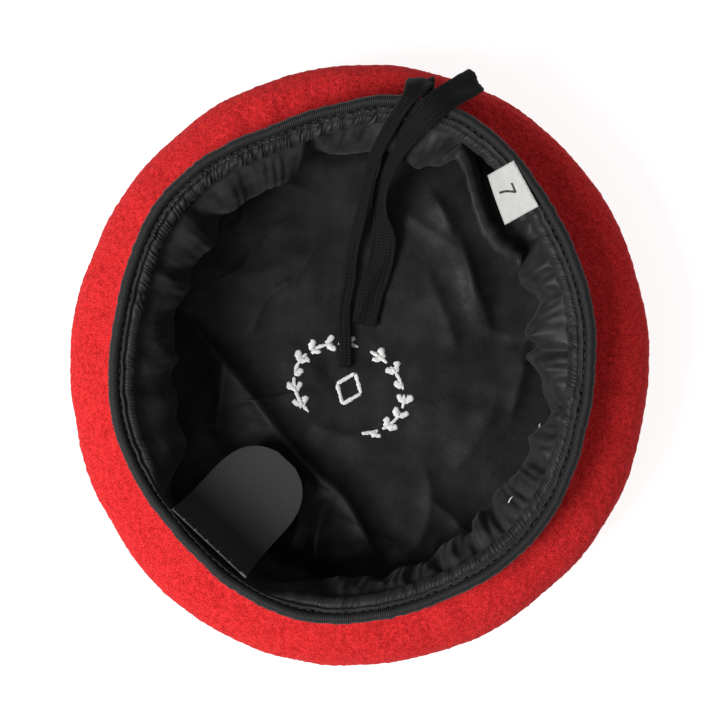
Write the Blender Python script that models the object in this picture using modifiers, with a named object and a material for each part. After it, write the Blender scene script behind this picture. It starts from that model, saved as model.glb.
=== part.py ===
"""A wool-felt service beret, lying on its crown with the head opening upwards.

The origin is the middle of the flat crown, on the surface that it rests on. +Z goes up through
the head opening, +Y to the back of the head, where the drawcord comes out, and +X to the
wearer's right. Everything round the opening is placed from the rim: u is a distance outwards
from the outer edge of the binding, and v a height above its top.

Run it with: blender --background --python part.py
"""

import math

import bpy
from mathutils import Vector

MM = 0.001
STATIONS = 64

# The felt: a flat crown, a round shoulder, and an underside that draws in to the opening.
BODY_RADIUS = 111.6 * MM
BODY_WAVES = ((2, 0.0201, 101.0), (4, 0.0020, -4.0))
FLAT_SHARE = 0.717
WIDEST_Z = 29.0 * MM
FELT = 2.0 * MM
SHOULDER_ROWS = 5
UNDERSIDE_ROWS = 6
UNDERSIDE_RISE = 15.0 * MM
UNDERSIDE_NEAR_RIM = (2.8, -16.5)

# The rim of the head opening, as the outer edge of the binding seen from above.
RIM_RADIUS = 93.6 * MM
RIM_CENTRE = Vector((-2.6 * MM, 1.1 * MM, 0.0))
RIM_TOP = 61.2 * MM
RIM_WAVES = ((2, 3.67, 103.8), (3, 1.20, 79.6), (4, 1.09, -3.6), (5, 0.58, 14.3), (6, 1.17, 36.7))
RIM_DIP = 0.8 * MM
RIM_DIP_AT = 12.0

# The binding: a ribbon folded over the felt's edge, with a channel for the drawcord in the fold.
RIBBON = 0.6 * MM
RIBBON_SECTION = (
    (-0.3, -10.5), (-0.5, -6.5), (-0.7, -3.0), (-1.3, -1.2), (-2.3, -0.3),
    (-3.3, -1.2), (-3.9, -3.0), (-3.9, -6.5), (-3.9, -10.5),
)
FELT_NECK = ((-1.1, -11.6), (-1.25, -6.6))
EXIT_AT = 95.2
EXIT_HALF = 2.7

# The drawcord: a flat braided tape, creased along its middle inside the channel.
TAPE = 0.9 * MM
CREASED = 1.8 * MM
CHANNEL_CORD = 1.4 * MM
CHANNEL_CORD_SECTION = ((-2.3, -5.9), (-2.3, -2.3))

# The lining: a gathered heading under the binding, puffs below it, and a flat crown piece.
CLOTH = 0.5 * MM
HEADING_START = (-4.8, -2.0)
HEADING_ROLL = ((-0.8, -3.4), (-2.2, -5.6), (-3.2, -7.6), (-3.6, -9.0))
HEADING_PRESSED = 0.1
PUFF_MEAN = 11.0
PUFF_SWING = 3.0
PUFFS = 9
PUFF_CREST = 28.0
PUFF_ROWS = 7
PUFF_UPPER = (-5.5, -1.7, -16.0)
PUFF_LOWER = (-5.0, -1.4, -50.0)
PRESSED_BESIDE_FLAP = (15.0, 26.0)
BACK_AT = 100.0
BACK_BESIDE = (10.0, 24.0)
BACK_PUFF = 0.45
SIDE_HEM_SHARE = 0.79
SIDE_HEM_Z = 5.0 * MM
CROWN_LINING_SHARES = (0.40, 0.68, 0.765)
CROWN_LINING_Z = (2.9 * MM, 2.95 * MM, 3.7 * MM)

# The badge stiffener: a board sewn in at its top edge, which hangs down and bends inwards.
FLAP_AT = 253.6
FLAP_TURN = 338.9
FLAP_INSET = (-7.8, -1.2)
FLAP_LENGTH = 63.0 * MM
FLAP_HALF_TOP = 18.6 * MM
FLAP_HALF = 18.0 * MM
FLAP = 1.0 * MM
FLAP_STEEP = 72.0
FLAP_SHALLOW = 26.0
FLAP_BEND = (18.0 * MM, 46.0 * MM)
FLAP_ROUND_FROM = 40.0 * MM
FLAP_SKEW = 0.0 * MM
FLAP_ROUNDNESS = 2.4
FLAP_TIP = 0.985
FLAP_ROWS = 16
FLAP_COLUMNS = 7
FLAP_FINE_STEPS = 8

# The size label, sewn in along its long edge.
LABEL_AT = 67.8
LABEL_TURN = 324.0
LABEL_INSET = (-6.4, -0.9)
LABEL_LENGTH = 19.2 * MM
LABEL_DEPTH = 14.4 * MM
LABEL = 0.4 * MM
LABEL_DROP = 30.0
LABEL_ROWS = 5
LABEL_COLUMNS = 6

# Sewing threads.
THREAD = 0.25 * MM
BINDING_STITCH = (-4.55, -1.0)
HEADING_STITCH = (-2.2, -5.0)
HEADING_STITCH_PROUD = 0.9
HEADING_STITCH_BESIDE = 17.0
SEAM_SHARE = 0.767
SEAM_Z = 4.75 * MM
SEWN_CLEAR = 0.3 * MM
FLAP_STITCH_DOWN = 2.5 * MM
FLAP_STITCH_INSET = 1.5 * MM
FLAP_STITCH_POINTS = 9
LABEL_STITCH_DOWN = 1.5 * MM
LABEL_STITCH_INSET = 1.0 * MM
LABEL_STITCH_POINTS = 6
TACK_LENGTH = 3.4 * MM
TACK_CLEAR = 1.0 * MM
TACK_LEAN = 0.3 * MM
TACK_DOWN_PUFF = 0.36
TACKS = {"tack_stitch_front": 339.9, "tack_stitch_right": 1.9}

# The two free ends of the drawcord, in mm: x, y, z, the way the tape's width points as seen
# from above, how far it tilts out of level (both in degrees), and half its width.
SHORT_TAIL = (
    (-9.5, 99.2, 57.2, -36, 0, 1.2),
    (-9.1, 100.7, 58.2, -36, 0, 1.2),
    (-7.5, 103.1, 57.5, -36, 0, 1.7),
    (-5.2, 106.2, 54.0, -36, 0, 3.2),
    (-3.2, 109.4, 49.4, -36, 0, 4.6),
    (-1.3, 112.4, 45.8, -36, 0, 5.0),
    (0.2, 114.6, 44.6, -36, 0, 5.0),
    (0.2, 114.8, 46.9, -36, 0, 5.0),
    (-1.6, 111.9, 50.6, -36, 0, 5.0),
    (-4.0, 108.2, 55.6, -36, 0, 5.0),
    (-6.6, 104.3, 60.2, -35, 0, 5.0),
    (-9.4, 99.9, 62.2, -32, 0, 5.0),
    (-12.0, 95.2, 62.1, -28, 2, 5.0),
    (-14.0, 90.6, 59.4, -26, 8, 5.0),
    (-16.0, 86.2, 54.6, -24, 18, 5.0),
    (-17.8, 81.2, 46.4, -22, 36, 5.0),
    (-18.6, 75.4, 36.0, -20, 55, 5.0),
    (-18.2, 67.8, 24.4, -18, 60, 5.0),
    (-15.8, 60.6, 15.4, -18, 45, 5.0),
    (-12.4, 54.4, 9.6, -18, 24, 5.0),
    (-9.6, 48.2, 7.0, -18, 10, 5.0),
    (-7.8, 41.6, 5.8, -16, 4, 5.0),
    (-7.0, 35.0, 5.3, -14, 0, 5.0),
    (-6.6, 28.0, 5.1, -14, 0, 5.0),
    (-5.4, 21.4, 5.0, -12, 0, 5.0),
    (-4.3, 15.4, 5.0, -8, 0, 4.8),
)
LONG_TAIL = (
    (-13.4, 98.8, 57.2, 14, 0, 1.2),
    (-14.0, 100.4, 58.3, 14, 0, 1.5),
    (-15.2, 102.7, 57.6, 14, 0, 2.0),
    (-16.6, 104.6, 55.6, 14, 0, 2.5),
    (-17.9, 106.0, 55.2, 14, 0, 2.5),
    (-18.6, 105.4, 58.0, 14, 0, 2.5),
    (-19.0, 102.8, 61.6, 14, 0, 2.5),
    (-19.8, 99.0, 63.2, 10, 0, 2.5),
    (-20.8, 94.6, 62.8, 4, 0, 2.5),
    (-21.8, 90.2, 60.4, 0, 0, 2.5),
    (-22.6, 85.6, 56.2, -4, 0, 2.5),
    (-23.4, 80.8, 50.0, -6, 5, 2.5),
    (-24.0, 75.8, 42.0, -8, 15, 2.5),
    (-23.6, 69.8, 33.0, -12, 25, 2.5),
    (-22.6, 63.4, 23.4, -14, 25, 2.5),
    (-21.6, 56.8, 15.4, -14, 20, 2.5),
    (-20.7, 50.2, 10.0, -14, 12, 2.5),
    (-19.8, 43.8, 7.2, -16, 6, 2.5),
    (-18.2, 36.2, 6.0, -18, 0, 2.5),
    (-15.8, 28.4, 5.6, -20, 0, 2.5),
    (-14.2, 20.6, 5.5, -20, 0, 2.5),
    (-11.6, 12.6, 5.5, -20, 0, 2.5),
    (-8.2, 5.2, 5.5, -20, 0, 2.5),
    (-5.2, -2.4, 5.5, -20, 0, 2.5),
)
ROUTE_STEPS = 3

FELT_RED = (0.55, 0.012, 0.014)
RIBBON_GREY = (0.022, 0.024, 0.026)
TAPE_BLACK = (0.016, 0.017, 0.019)
SATIN_BLACK = (0.012, 0.012, 0.015)
BOARD_GREY = (0.030, 0.029, 0.030)
LABEL_WHITE = (0.78, 0.78, 0.74)
THREAD_BLACK = (0.018, 0.018, 0.020)
THREAD_WHITE = (0.80, 0.80, 0.78)


def clear_scene():
    for obj in list(bpy.data.objects):
        bpy.data.objects.remove(obj)


def new_collection(name):
    collection = bpy.data.collections.new(name)
    bpy.context.scene.collection.children.link(collection)
    return collection


def material(name, colour, roughness):
    made = bpy.data.materials.new(name)
    made.use_nodes = True
    shader = made.node_tree.nodes["Principled BSDF"]
    shader.inputs["Base Color"].default_value = (*colour, 1.0)
    shader.inputs["Roughness"].default_value = roughness
    shader.inputs["Metallic"].default_value = 0.0
    made.diffuse_color = (*colour, 1.0)
    return made


def waves(terms, angle):
    """The sum of the waves round the beret at an angle: each is a count, an amplitude and a peak."""
    return sum(size * math.cos(count * math.radians(angle - peak)) for count, size, peak in terms)


def heading_of(angle):
    """The level direction at an angle in degrees from +X."""
    return Vector((math.cos(math.radians(angle)), math.sin(math.radians(angle)), 0.0))


def body_point(angle, share, z):
    """A point at a share of the way out to the beret's outline."""
    radius = BODY_RADIUS * (1.0 + waves(BODY_WAVES, angle))
    return heading_of(angle) * (share * radius) + Vector((0.0, 0.0, z))


def rim_point(angle, u, v):
    """A point u mm outside the rim's outline and v mm above the binding's top."""
    radius = RIM_RADIUS + (waves(RIM_WAVES, angle) + u) * MM
    top = RIM_TOP + RIM_DIP * math.cos(2.0 * math.radians(angle - RIM_DIP_AT))
    return RIM_CENTRE + heading_of(angle) * radius + Vector((0.0, 0.0, top + v * MM))


def bezier(a, b, c, d, t):
    """A point on the cubic curve from a to d, with b and c as its handles."""
    s = 1.0 - t
    return a * s**3 + b * (3 * s * s * t) + c * (3 * s * t * t) + d * t**3


def smooth_step(value, low, high):
    t = min(1.0, max(0.0, (value - low) / (high - low)))
    return t * t * (3.0 - 2.0 * t)


def stations():
    """The angles round the rim from one side of the cord exit to the other."""
    start = EXIT_AT + EXIT_HALF
    sweep = 360.0 - 2.0 * EXIT_HALF
    return [start + sweep * i / STATIONS for i in range(STATIONS + 1)]


def away_from(angle, centre, flat, edge):
    """0 within flat degrees of the centre, rising to 1 at edge degrees from it."""
    apart = abs((angle - centre + 180.0) % 360.0 - 180.0)
    return smooth_step(apart, flat, edge)


def spread(count):
    """Evenly spaced shares from -1 to 1."""
    return [-1.0 + 2.0 * i / (count - 1) for i in range(count)]


def grid_faces(rows, columns, closed):
    """The quads between neighbouring rows of points."""
    faces = []
    for r in range(rows - 1):
        here = r * columns
        above = here + columns
        for c in range(columns if closed else columns - 1):
            after = (c + 1) % columns
            faces.append((here + c, here + after, above + after, above + c))
    return faces


def sheet(name, rows, thickness, offset, finish, parts, closed=True, centre=None):
    """A solid from a surface: rows of points, thickened to one side (-1 or 1) or to both (0)."""
    columns = len(rows[0])
    points = [point for row in rows for point in row]
    faces = grid_faces(len(rows), columns, closed)
    if centre is not None:
        points.append(centre)
        hub = len(points) - 1
        faces += [(hub, (c + 1) % columns, c) for c in range(columns)]
    mesh = bpy.data.meshes.new(name)
    mesh.from_pydata([tuple(point) for point in points], [], faces)
    mesh.materials.append(finish)
    mesh.shade_smooth()
    obj = bpy.data.objects.new(name, mesh)
    parts.objects.link(obj)
    solidify = obj.modifiers.new("thickness", "SOLIDIFY")
    solidify.thickness = thickness
    solidify.offset = offset
    solidify.use_even_offset = True
    return obj


def thread(name, points, finish, parts, closed=False):
    """A sewing thread as a fine tube through the points."""
    curve = bpy.data.curves.new(name, "CURVE")
    curve.dimensions = "3D"
    curve.bevel_depth = THREAD
    curve.bevel_resolution = 0
    curve.use_fill_caps = True
    spline = curve.splines.new("POLY")
    spline.points.add(len(points) - 1)
    for place, point in zip(spline.points, points):
        place.co = (*point, 1.0)
    spline.use_cyclic_u = closed
    curve.materials.append(finish)
    obj = bpy.data.objects.new(name, curve)
    parts.objects.link(obj)
    return obj


def hang_on(obj, origin):
    """Moves a mesh object's origin to a joint's axis without moving its shape."""
    for vertex in obj.data.vertices:
        vertex.co -= origin
    obj.location = origin


def felt_shell(parts):
    finish = material("wool_felt", FELT_RED, 0.95)
    turn = stations()
    rows = [[body_point(a, FLAT_SHARE, 0.0) for a in turn]]
    for i in range(1, SHOULDER_ROWS + 1):
        bend = 0.5 * math.pi * i / SHOULDER_ROWS
        share = FLAT_SHARE + (1.0 - FLAT_SHARE) * math.sin(bend)
        rows.append([body_point(a, share, WIDEST_Z * (1.0 - math.cos(bend))) for a in turn])
    for i in range(1, UNDERSIDE_ROWS + 1):
        rows.append([underside_point(a, i / UNDERSIDE_ROWS) for a in turn])
    rows.append([rim_point(a, *FELT_NECK[1]) for a in turn])
    return sheet("felt_shell", rows, FELT, -1.0, finish, parts, centre=Vector((0.0, 0.0, 0.0)))


def underside_point(angle, t):
    """The felt between its widest line (t = 0) and the foot of the binding (t = 1)."""
    widest = body_point(angle, 1.0, WIDEST_Z)
    above = body_point(angle, 1.0, WIDEST_Z + UNDERSIDE_RISE)
    below_rim = rim_point(angle, *UNDERSIDE_NEAR_RIM)
    return bezier(widest, above, below_rim, rim_point(angle, *FELT_NECK[0]), t)


def rim_binding(parts):
    finish = material("grosgrain_ribbon", RIBBON_GREY, 0.7)
    rows = [[rim_point(a, u, v) for a in stations()] for u, v in RIBBON_SECTION]
    return sheet("rim_binding", rows, RIBBON, 0.0, finish, parts, closed=False)


def channel_drawcord(tape, parts):
    rows = [[rim_point(a, u, v) for a in stations()] for u, v in CHANNEL_CORD_SECTION]
    return sheet("channel_drawcord", rows, CHANNEL_CORD, 0.0, tape, parts, closed=False)


def pressed(angle):
    """How free the lining is to puff out: 0 behind the badge stiffener, 1 away from it."""
    return away_from(angle, FLAP_AT, *PRESSED_BESIDE_FLAP)


def heading_point(angle, du, v, proud=0.0):
    """The gathered heading, du mm inside the binding where it is free, and proud mm off its face."""
    free = HEADING_PRESSED + (1.0 - HEADING_PRESSED) * pressed(angle)
    u = HEADING_START[0] + du * free - proud
    return rim_point(angle, u, v)


def puff_point(angle, t):
    """The side lining from the foot of its heading (t = 0) to its hem on the crown (t = 1)."""
    swell = PUFF_MEAN + PUFF_SWING * math.cos(PUFFS * math.radians(angle - PUFF_CREST))
    swell *= pressed(angle)
    swell *= BACK_PUFF + (1.0 - BACK_PUFF) * away_from(angle, BACK_AT, *BACK_BESIDE)
    handles = [rim_point(angle, u + growth * swell, v) for u, growth, v in (PUFF_UPPER, PUFF_LOWER)]
    foot = heading_point(angle, *HEADING_ROLL[-1])
    return bezier(foot, *handles, body_point(angle, SIDE_HEM_SHARE, SIDE_HEM_Z), t)


def heading_stitch_line():
    """The second row of stitching, which stops at each side of the badge stiffener."""
    sweep = 360.0 - 2.0 * HEADING_STITCH_BESIDE
    start = FLAP_AT + HEADING_STITCH_BESIDE
    angles = [start + sweep * i / STATIONS for i in range(STATIONS + 1)]
    return [heading_point(a, *HEADING_STITCH, proud=HEADING_STITCH_PROUD) for a in angles]


def side_lining(satin, parts):
    turn = stations()
    rows = [[rim_point(a, *HEADING_START) for a in turn]]
    for du, v in HEADING_ROLL:
        rows.append([heading_point(a, du, v) for a in turn])
    for i in range(1, PUFF_ROWS + 1):
        rows.append([puff_point(a, i / PUFF_ROWS) for a in turn])
    return sheet("side_lining", rows, CLOTH, 0.0, satin, parts)


def crown_lining(satin, parts):
    turn = stations()
    levels = zip(CROWN_LINING_SHARES, CROWN_LINING_Z)
    rows = [[body_point(a, share, z) for a in turn] for share, z in levels]
    middle = Vector((0.0, 0.0, CROWN_LINING_Z[0]))
    return sheet("crown_lining", rows, CLOTH, 0.0, satin, parts, centre=middle)


def flap_line():
    """The middle line of the stiffener as pairs (inwards, down), one for each row."""
    step = FLAP_LENGTH / ((FLAP_ROWS - 1) * FLAP_FINE_STEPS)
    inwards = down = 0.0
    line = [(0.0, 0.0)]
    for i in range((FLAP_ROWS - 1) * FLAP_FINE_STEPS):
        bent = smooth_step((i + 0.5) * step, *FLAP_BEND)
        slope = math.radians(FLAP_STEEP + (FLAP_SHALLOW - FLAP_STEEP) * bent)
        inwards += step * math.cos(slope)
        down += step * math.sin(slope)
        if (i + 1) % FLAP_FINE_STEPS == 0:
            line.append((inwards, down))
    return line


def flap_half_width(along):
    """Straight sides that narrow a little, and a broad round end."""
    half = FLAP_HALF_TOP + (FLAP_HALF - FLAP_HALF_TOP) * min(1.0, along / FLAP_BEND[0])
    if along <= FLAP_ROUND_FROM:
        return half
    reach = FLAP_TIP * (along - FLAP_ROUND_FROM) / (FLAP_LENGTH - FLAP_ROUND_FROM)
    return half * (1.0 - reach**FLAP_ROUNDNESS) ** (1.0 / FLAP_ROUNDNESS)


def flap_hinge():
    return rim_point(FLAP_AT, *FLAP_INSET)


def flap_point(along, inwards, down, across):
    side = heading_of(FLAP_TURN)
    into = heading_of(FLAP_TURN + 90.0)
    shift = FLAP_SKEW * (along / FLAP_LENGTH) ** 2
    return flap_hinge() + into * inwards + side * (across + shift) - Vector((0.0, 0.0, down))


def badge_stiffener(parts):
    finish = material("stiffener_board", BOARD_GREY, 0.55)
    rows = []
    for i, (inwards, down) in enumerate(flap_line()):
        along = FLAP_LENGTH * i / (FLAP_ROWS - 1)
        half = flap_half_width(along)
        rows.append([flap_point(along, inwards, down, half * share) for share in spread(FLAP_COLUMNS)])
    obj = sheet("badge_stiffener", rows, FLAP, 0.0, finish, parts, closed=False)
    hang_on(obj, flap_hinge())
    return obj


def stiffener_thread(finish, parts):
    """The row of stitches along the top of the stiffener, just proud of its face."""
    slope = math.radians(FLAP_STEEP)
    along = FLAP_STITCH_DOWN
    proud = 0.5 * FLAP + THREAD + SEWN_CLEAR
    inwards = along * math.cos(slope) + proud * math.sin(slope)
    down = along * math.sin(slope) - proud * math.cos(slope)
    half = FLAP_HALF_TOP - FLAP_STITCH_INSET
    points = [flap_point(along, inwards, down, half * share) for share in spread(FLAP_STITCH_POINTS)]
    return thread("stiffener_thread", points, finish, parts)


def label_hinge():
    return rim_point(LABEL_AT, *LABEL_INSET)


def label_point(along, depth, proud):
    side = heading_of(LABEL_TURN)
    into = heading_of(LABEL_TURN - 90.0)
    drop = math.radians(LABEL_DROP)
    inwards = depth * math.cos(drop) + proud * math.sin(drop)
    down = depth * math.sin(drop) - proud * math.cos(drop)
    return label_hinge() + side * along + into * inwards - Vector((0.0, 0.0, down))


def size_label(parts):
    finish = material("label_ribbon", LABEL_WHITE, 0.6)
    rows = []
    for i in range(LABEL_ROWS):
        depth = LABEL_DEPTH * i / (LABEL_ROWS - 1)
        half = 0.5 * LABEL_LENGTH
        rows.append([label_point(half * share, depth, 0.0) for share in spread(LABEL_COLUMNS)])
    obj = sheet("size_label", rows, LABEL, 0.0, finish, parts, closed=False)
    hang_on(obj, label_hinge())
    return obj


def label_thread(finish, parts):
    proud = 0.5 * LABEL + THREAD + SEWN_CLEAR
    half = 0.5 * LABEL_LENGTH - LABEL_STITCH_INSET
    points = [label_point(half * share, LABEL_STITCH_DOWN, proud) for share in spread(LABEL_STITCH_POINTS)]
    return thread("label_thread", points, finish, parts)


def tack_stitches(finish, parts):
    """Two stitches that catch the side lining where it bulges furthest in."""
    clear = 0.5 * CLOTH + THREAD + TACK_CLEAR
    for name, angle in TACKS.items():
        middle = puff_point(angle, TACK_DOWN_PUFF) - heading_of(angle) * clear
        along = heading_of(angle + 90.0) * (0.5 * TACK_LENGTH)
        lean = heading_of(angle) * TACK_LEAN
        thread(name, [middle - along + lean, middle, middle + along], finish, parts)


def route_point(route, i, t):
    """A smooth reading of the route between its points i and i + 1."""
    a, b, c, d = (route[min(max(k, 0), len(route) - 1)] for k in (i - 1, i, i + 1, i + 2))
    return tuple(
        0.5 * (2 * q + (r - p) * t + (2 * p - 5 * q + 4 * r - s) * t**2 + (3 * q - p - 3 * r + s) * t**3)
        for p, q, r, s in zip(a, b, c, d)
    )


def tape_tail(name, route, thickness, tape, parts):
    """A flat tape along the route, turned as the route says."""
    count = (len(route) - 1) * ROUTE_STEPS
    line = [route_point(route, i // ROUTE_STEPS, (i % ROUTE_STEPS) / ROUTE_STEPS) for i in range(count)]
    line.append(route[-1])
    places = [Vector(p[:3]) * MM for p in line]
    rows = []
    for i, (x, y, z, turn, tilt, half) in enumerate(line):
        forward = (places[min(i + 1, count)] - places[max(i - 1, 0)]).normalized()
        lift = math.radians(tilt)
        width = heading_of(turn) * math.cos(lift) + Vector((0.0, 0.0, math.sin(lift)))
        width = (width - forward * width.dot(forward)).normalized()
        rows.append([places[i] + width * (half * MM * share) for share in spread(3)])
    return sheet(name, rows, thickness, 0.0, tape, parts, closed=False)


def build():
    clear_scene()
    parts = new_collection("beret")
    satin = material("satin_lining", SATIN_BLACK, 0.35)
    tape = material("braided_tape", TAPE_BLACK, 0.8)
    black = material("black_thread", THREAD_BLACK, 0.6)
    white = material("white_thread", THREAD_WHITE, 0.6)
    felt_shell(parts)
    rim_binding(parts)
    channel_drawcord(tape, parts)
    tape_tail("tie_tail_short", SHORT_TAIL, TAPE, tape, parts)
    tape_tail("tie_tail_long", LONG_TAIL, CREASED, tape, parts)
    side_lining(satin, parts)
    crown_lining(satin, parts)
    badge_stiffener(parts)
    size_label(parts)
    edge = [rim_point(a, *BINDING_STITCH) for a in stations()]
    thread("binding_thread", edge, black, parts)
    thread("heading_thread", heading_stitch_line(), black, parts)
    seam = [body_point(a, SEAM_SHARE, SEAM_Z) for a in stations()]
    thread("lining_seam_thread", seam, black, parts, closed=True)
    stiffener_thread(black, parts)
    label_thread(white, parts)
    tack_stitches(white, parts)


build()
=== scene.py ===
import math

import bmesh
import bpy
import numpy as np
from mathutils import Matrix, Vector


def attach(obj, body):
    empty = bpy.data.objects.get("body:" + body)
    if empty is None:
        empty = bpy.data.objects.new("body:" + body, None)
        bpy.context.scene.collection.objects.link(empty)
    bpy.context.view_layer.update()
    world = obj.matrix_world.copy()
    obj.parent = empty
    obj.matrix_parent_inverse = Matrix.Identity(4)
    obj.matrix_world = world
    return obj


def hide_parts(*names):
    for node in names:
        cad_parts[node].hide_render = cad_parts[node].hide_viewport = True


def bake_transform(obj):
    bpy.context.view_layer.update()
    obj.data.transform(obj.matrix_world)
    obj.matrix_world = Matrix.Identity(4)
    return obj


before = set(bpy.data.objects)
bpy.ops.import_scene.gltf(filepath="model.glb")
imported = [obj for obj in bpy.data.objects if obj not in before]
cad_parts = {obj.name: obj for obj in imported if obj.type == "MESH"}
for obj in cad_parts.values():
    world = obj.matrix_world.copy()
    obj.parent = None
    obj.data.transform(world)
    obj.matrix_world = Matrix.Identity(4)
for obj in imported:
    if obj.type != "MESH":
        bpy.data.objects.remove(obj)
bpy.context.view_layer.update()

MM = 0.001
TAU = 2.0 * math.pi

# ---- The beret's own measures, in mm
BODY_RADIUS = 111.6
BODY_WAVES = ((2, 0.0201, 101.0), (4, 0.0020, -4.0))
FLAT_SHARE = 0.717
WIDEST_Z = 29.0
FELT = 2.0
FELT_COLUMNS = 720
UNDERSIDE_RISE = 15.0
UNDERSIDE_NEAR_RIM = (2.8, -16.5)
FELT_NECK = ((-1.1, -11.6), (-1.25, -6.6))

RIM_RADIUS = 93.6
RIM_CENTRE = (-2.6, 1.1)
RIM_TOP = 61.2
RIM_WAVES = ((2, 3.67, 103.8), (3, 1.20, 79.6), (4, 1.09, -3.6), (5, 0.58, 14.3), (6, 1.17, 36.7))
RIM_DIP = 0.8
RIM_DIP_AT = 12.0
RIBBON = 0.6
RIBS = 740
RIBBON_SECTION = (
    (-0.3, -10.5), (-0.5, -6.5), (-0.5, -2.6), (-0.8, -0.9), (-1.5, -0.3), (-2.6, -0.1),
    (-3.4, -0.5), (-3.9, -1.5), (-3.95, -3.0), (-3.9, -6.5), (-3.9, -10.5),
)
EXIT_AT = 95.2
EXIT_HALF = 2.7

FLAP_AT = 253.6
FLAP_TURN = 338.9
FLAP_INSET = (-7.8, -1.2)
FLAP_LENGTH = 63.0
FLAP_HALF_TOP = 18.6
FLAP_HALF = 18.0
FLAP = 1.0
FLAP_STEEP = 72.0
FLAP_SHALLOW = 26.0
FLAP_BEND = (21.0, 38.0)
FLAP_ROUND_FROM = 40.0
FLAP_GRID = (70, 34)

LABEL_AT = 67.8
LABEL_TURN = 320.5
LABEL_INSET = (-4.3, 0.2)
LABEL_LENGTH = 19.2
LABEL_DEPTH = 14.4
LABEL_DROP = 30.0
LABEL_FOLD = (1.3, 4.0)
LABEL = 0.35
LABEL_GRID = (26, 34)
DIGIT = (
    ((-2.7, 5.0), (-1.2, 5.05), (1.0, 5.2)),
    ((0.95, 5.0), (0.1, 6.4), (-0.7, 7.8), (-1.35, 9.5), (-1.7, 11.6)),
)
DIGIT_WIDTH = 0.85

# The drawcord's ends: x, y, z, the way the width points, its tilt, and half the width.
SHORT_TAIL = (
    (-9.5, 99.2, 57.2, -36, 0, 1.2), (-9.1, 100.7, 58.2, -36, 0, 1.2), (-7.5, 103.1, 57.5, -36, 0, 1.7),
    (-5.2, 106.2, 54.0, -36, 0, 3.2), (-3.2, 109.4, 49.4, -36, 0, 4.6), (-1.3, 112.4, 45.8, -36, 0, 5.0),
    (0.2, 114.6, 44.6, -36, 0, 5.0), (0.2, 114.8, 46.9, -36, 0, 5.0), (-1.6, 111.9, 50.6, -36, 0, 5.0),
    (-4.0, 108.2, 55.6, -36, 0, 5.0), (-6.6, 104.3, 60.2, -35, 0, 5.0), (-9.4, 99.9, 62.2, -32, 0, 5.0),
    (-12.0, 95.2, 62.1, -28, 2, 5.0), (-14.0, 90.6, 59.4, -26, 8, 5.0), (-16.0, 86.2, 54.6, -24, 18, 5.0),
    (-17.8, 81.2, 46.4, -22, 36, 5.0), (-18.6, 75.4, 36.0, -20, 55, 5.0), (-18.2, 67.8, 24.4, -18, 60, 5.0),
    (-15.8, 60.6, 15.4, -18, 45, 5.0), (-12.4, 54.4, 9.6, -18, 24, 5.0), (-9.6, 48.2, 7.0, -18, 10, 5.0),
    (-7.8, 41.6, 5.8, -16, 4, 5.0), (-7.0, 35.0, 5.3, -14, 0, 5.0), (-6.6, 28.0, 5.1, -14, 0, 5.0),
    (-5.4, 21.4, 5.0, -12, 0, 5.0), (-4.3, 15.4, 5.0, -8, 0, 4.8),
)
LONG_TAIL = (
    (-13.4, 98.8, 57.2, 14, 0, 1.2), (-14.0, 100.4, 58.3, 14, 0, 1.5), (-15.2, 102.7, 57.6, 14, 0, 2.0),
    (-16.6, 104.6, 55.6, 14, 0, 3.0), (-17.9, 106.0, 55.2, 14, 0, 3.8), (-18.6, 105.4, 58.0, 14, 0, 3.9),
    (-19.0, 102.8, 61.6, 14, 0, 3.7), (-19.8, 99.0, 63.2, 10, 0, 3.0), (-20.8, 94.6, 62.8, 4, 0, 2.5),
    (-21.8, 90.2, 60.4, 0, 0, 2.5), (-22.6, 85.6, 56.2, -4, 0, 2.5), (-23.4, 80.8, 50.0, -6, 5, 2.5),
    (-24.0, 75.8, 42.0, -8, 15, 2.5), (-23.6, 69.8, 33.0, -12, 25, 2.5), (-22.6, 63.4, 23.4, -14, 25, 2.5),
    (-21.6, 56.8, 15.4, -14, 20, 2.5), (-20.7, 50.2, 10.0, -14, 12, 2.5), (-19.8, 43.8, 7.2, -16, 6, 2.5),
    (-18.2, 36.2, 6.0, -18, 0, 2.5), (-15.8, 28.4, 5.6, -20, 0, 2.5), (-14.2, 20.6, 5.5, -20, 0, 2.5),
    (-11.6, 12.6, 5.5, -20, 0, 2.5), (-8.2, 5.2, 5.5, -20, 0, 2.5), (-5.2, -2.4, 5.5, -20, 0, 2.5),
)

# ---- The lining's cloth
# How far in each part of the side lining reaches: an angle, and the radius of its innermost line.
REACH = (
    (12, 73.0), (30, 66.5), (47, 71.5), (58, 69.0), (68, 66.5), (80, 76.0), (100, 79.5), (120, 79.0),
    (135, 72.5), (150, 72.5), (165, 70.0), (184, 68.5), (200, 69.0), (218, 68.5), (234, 72.5),
    (275, 84.0), (296, 83.5), (310, 79.0), (322, 77.5), (335, 74.0), (355, 73.5),
)
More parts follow.
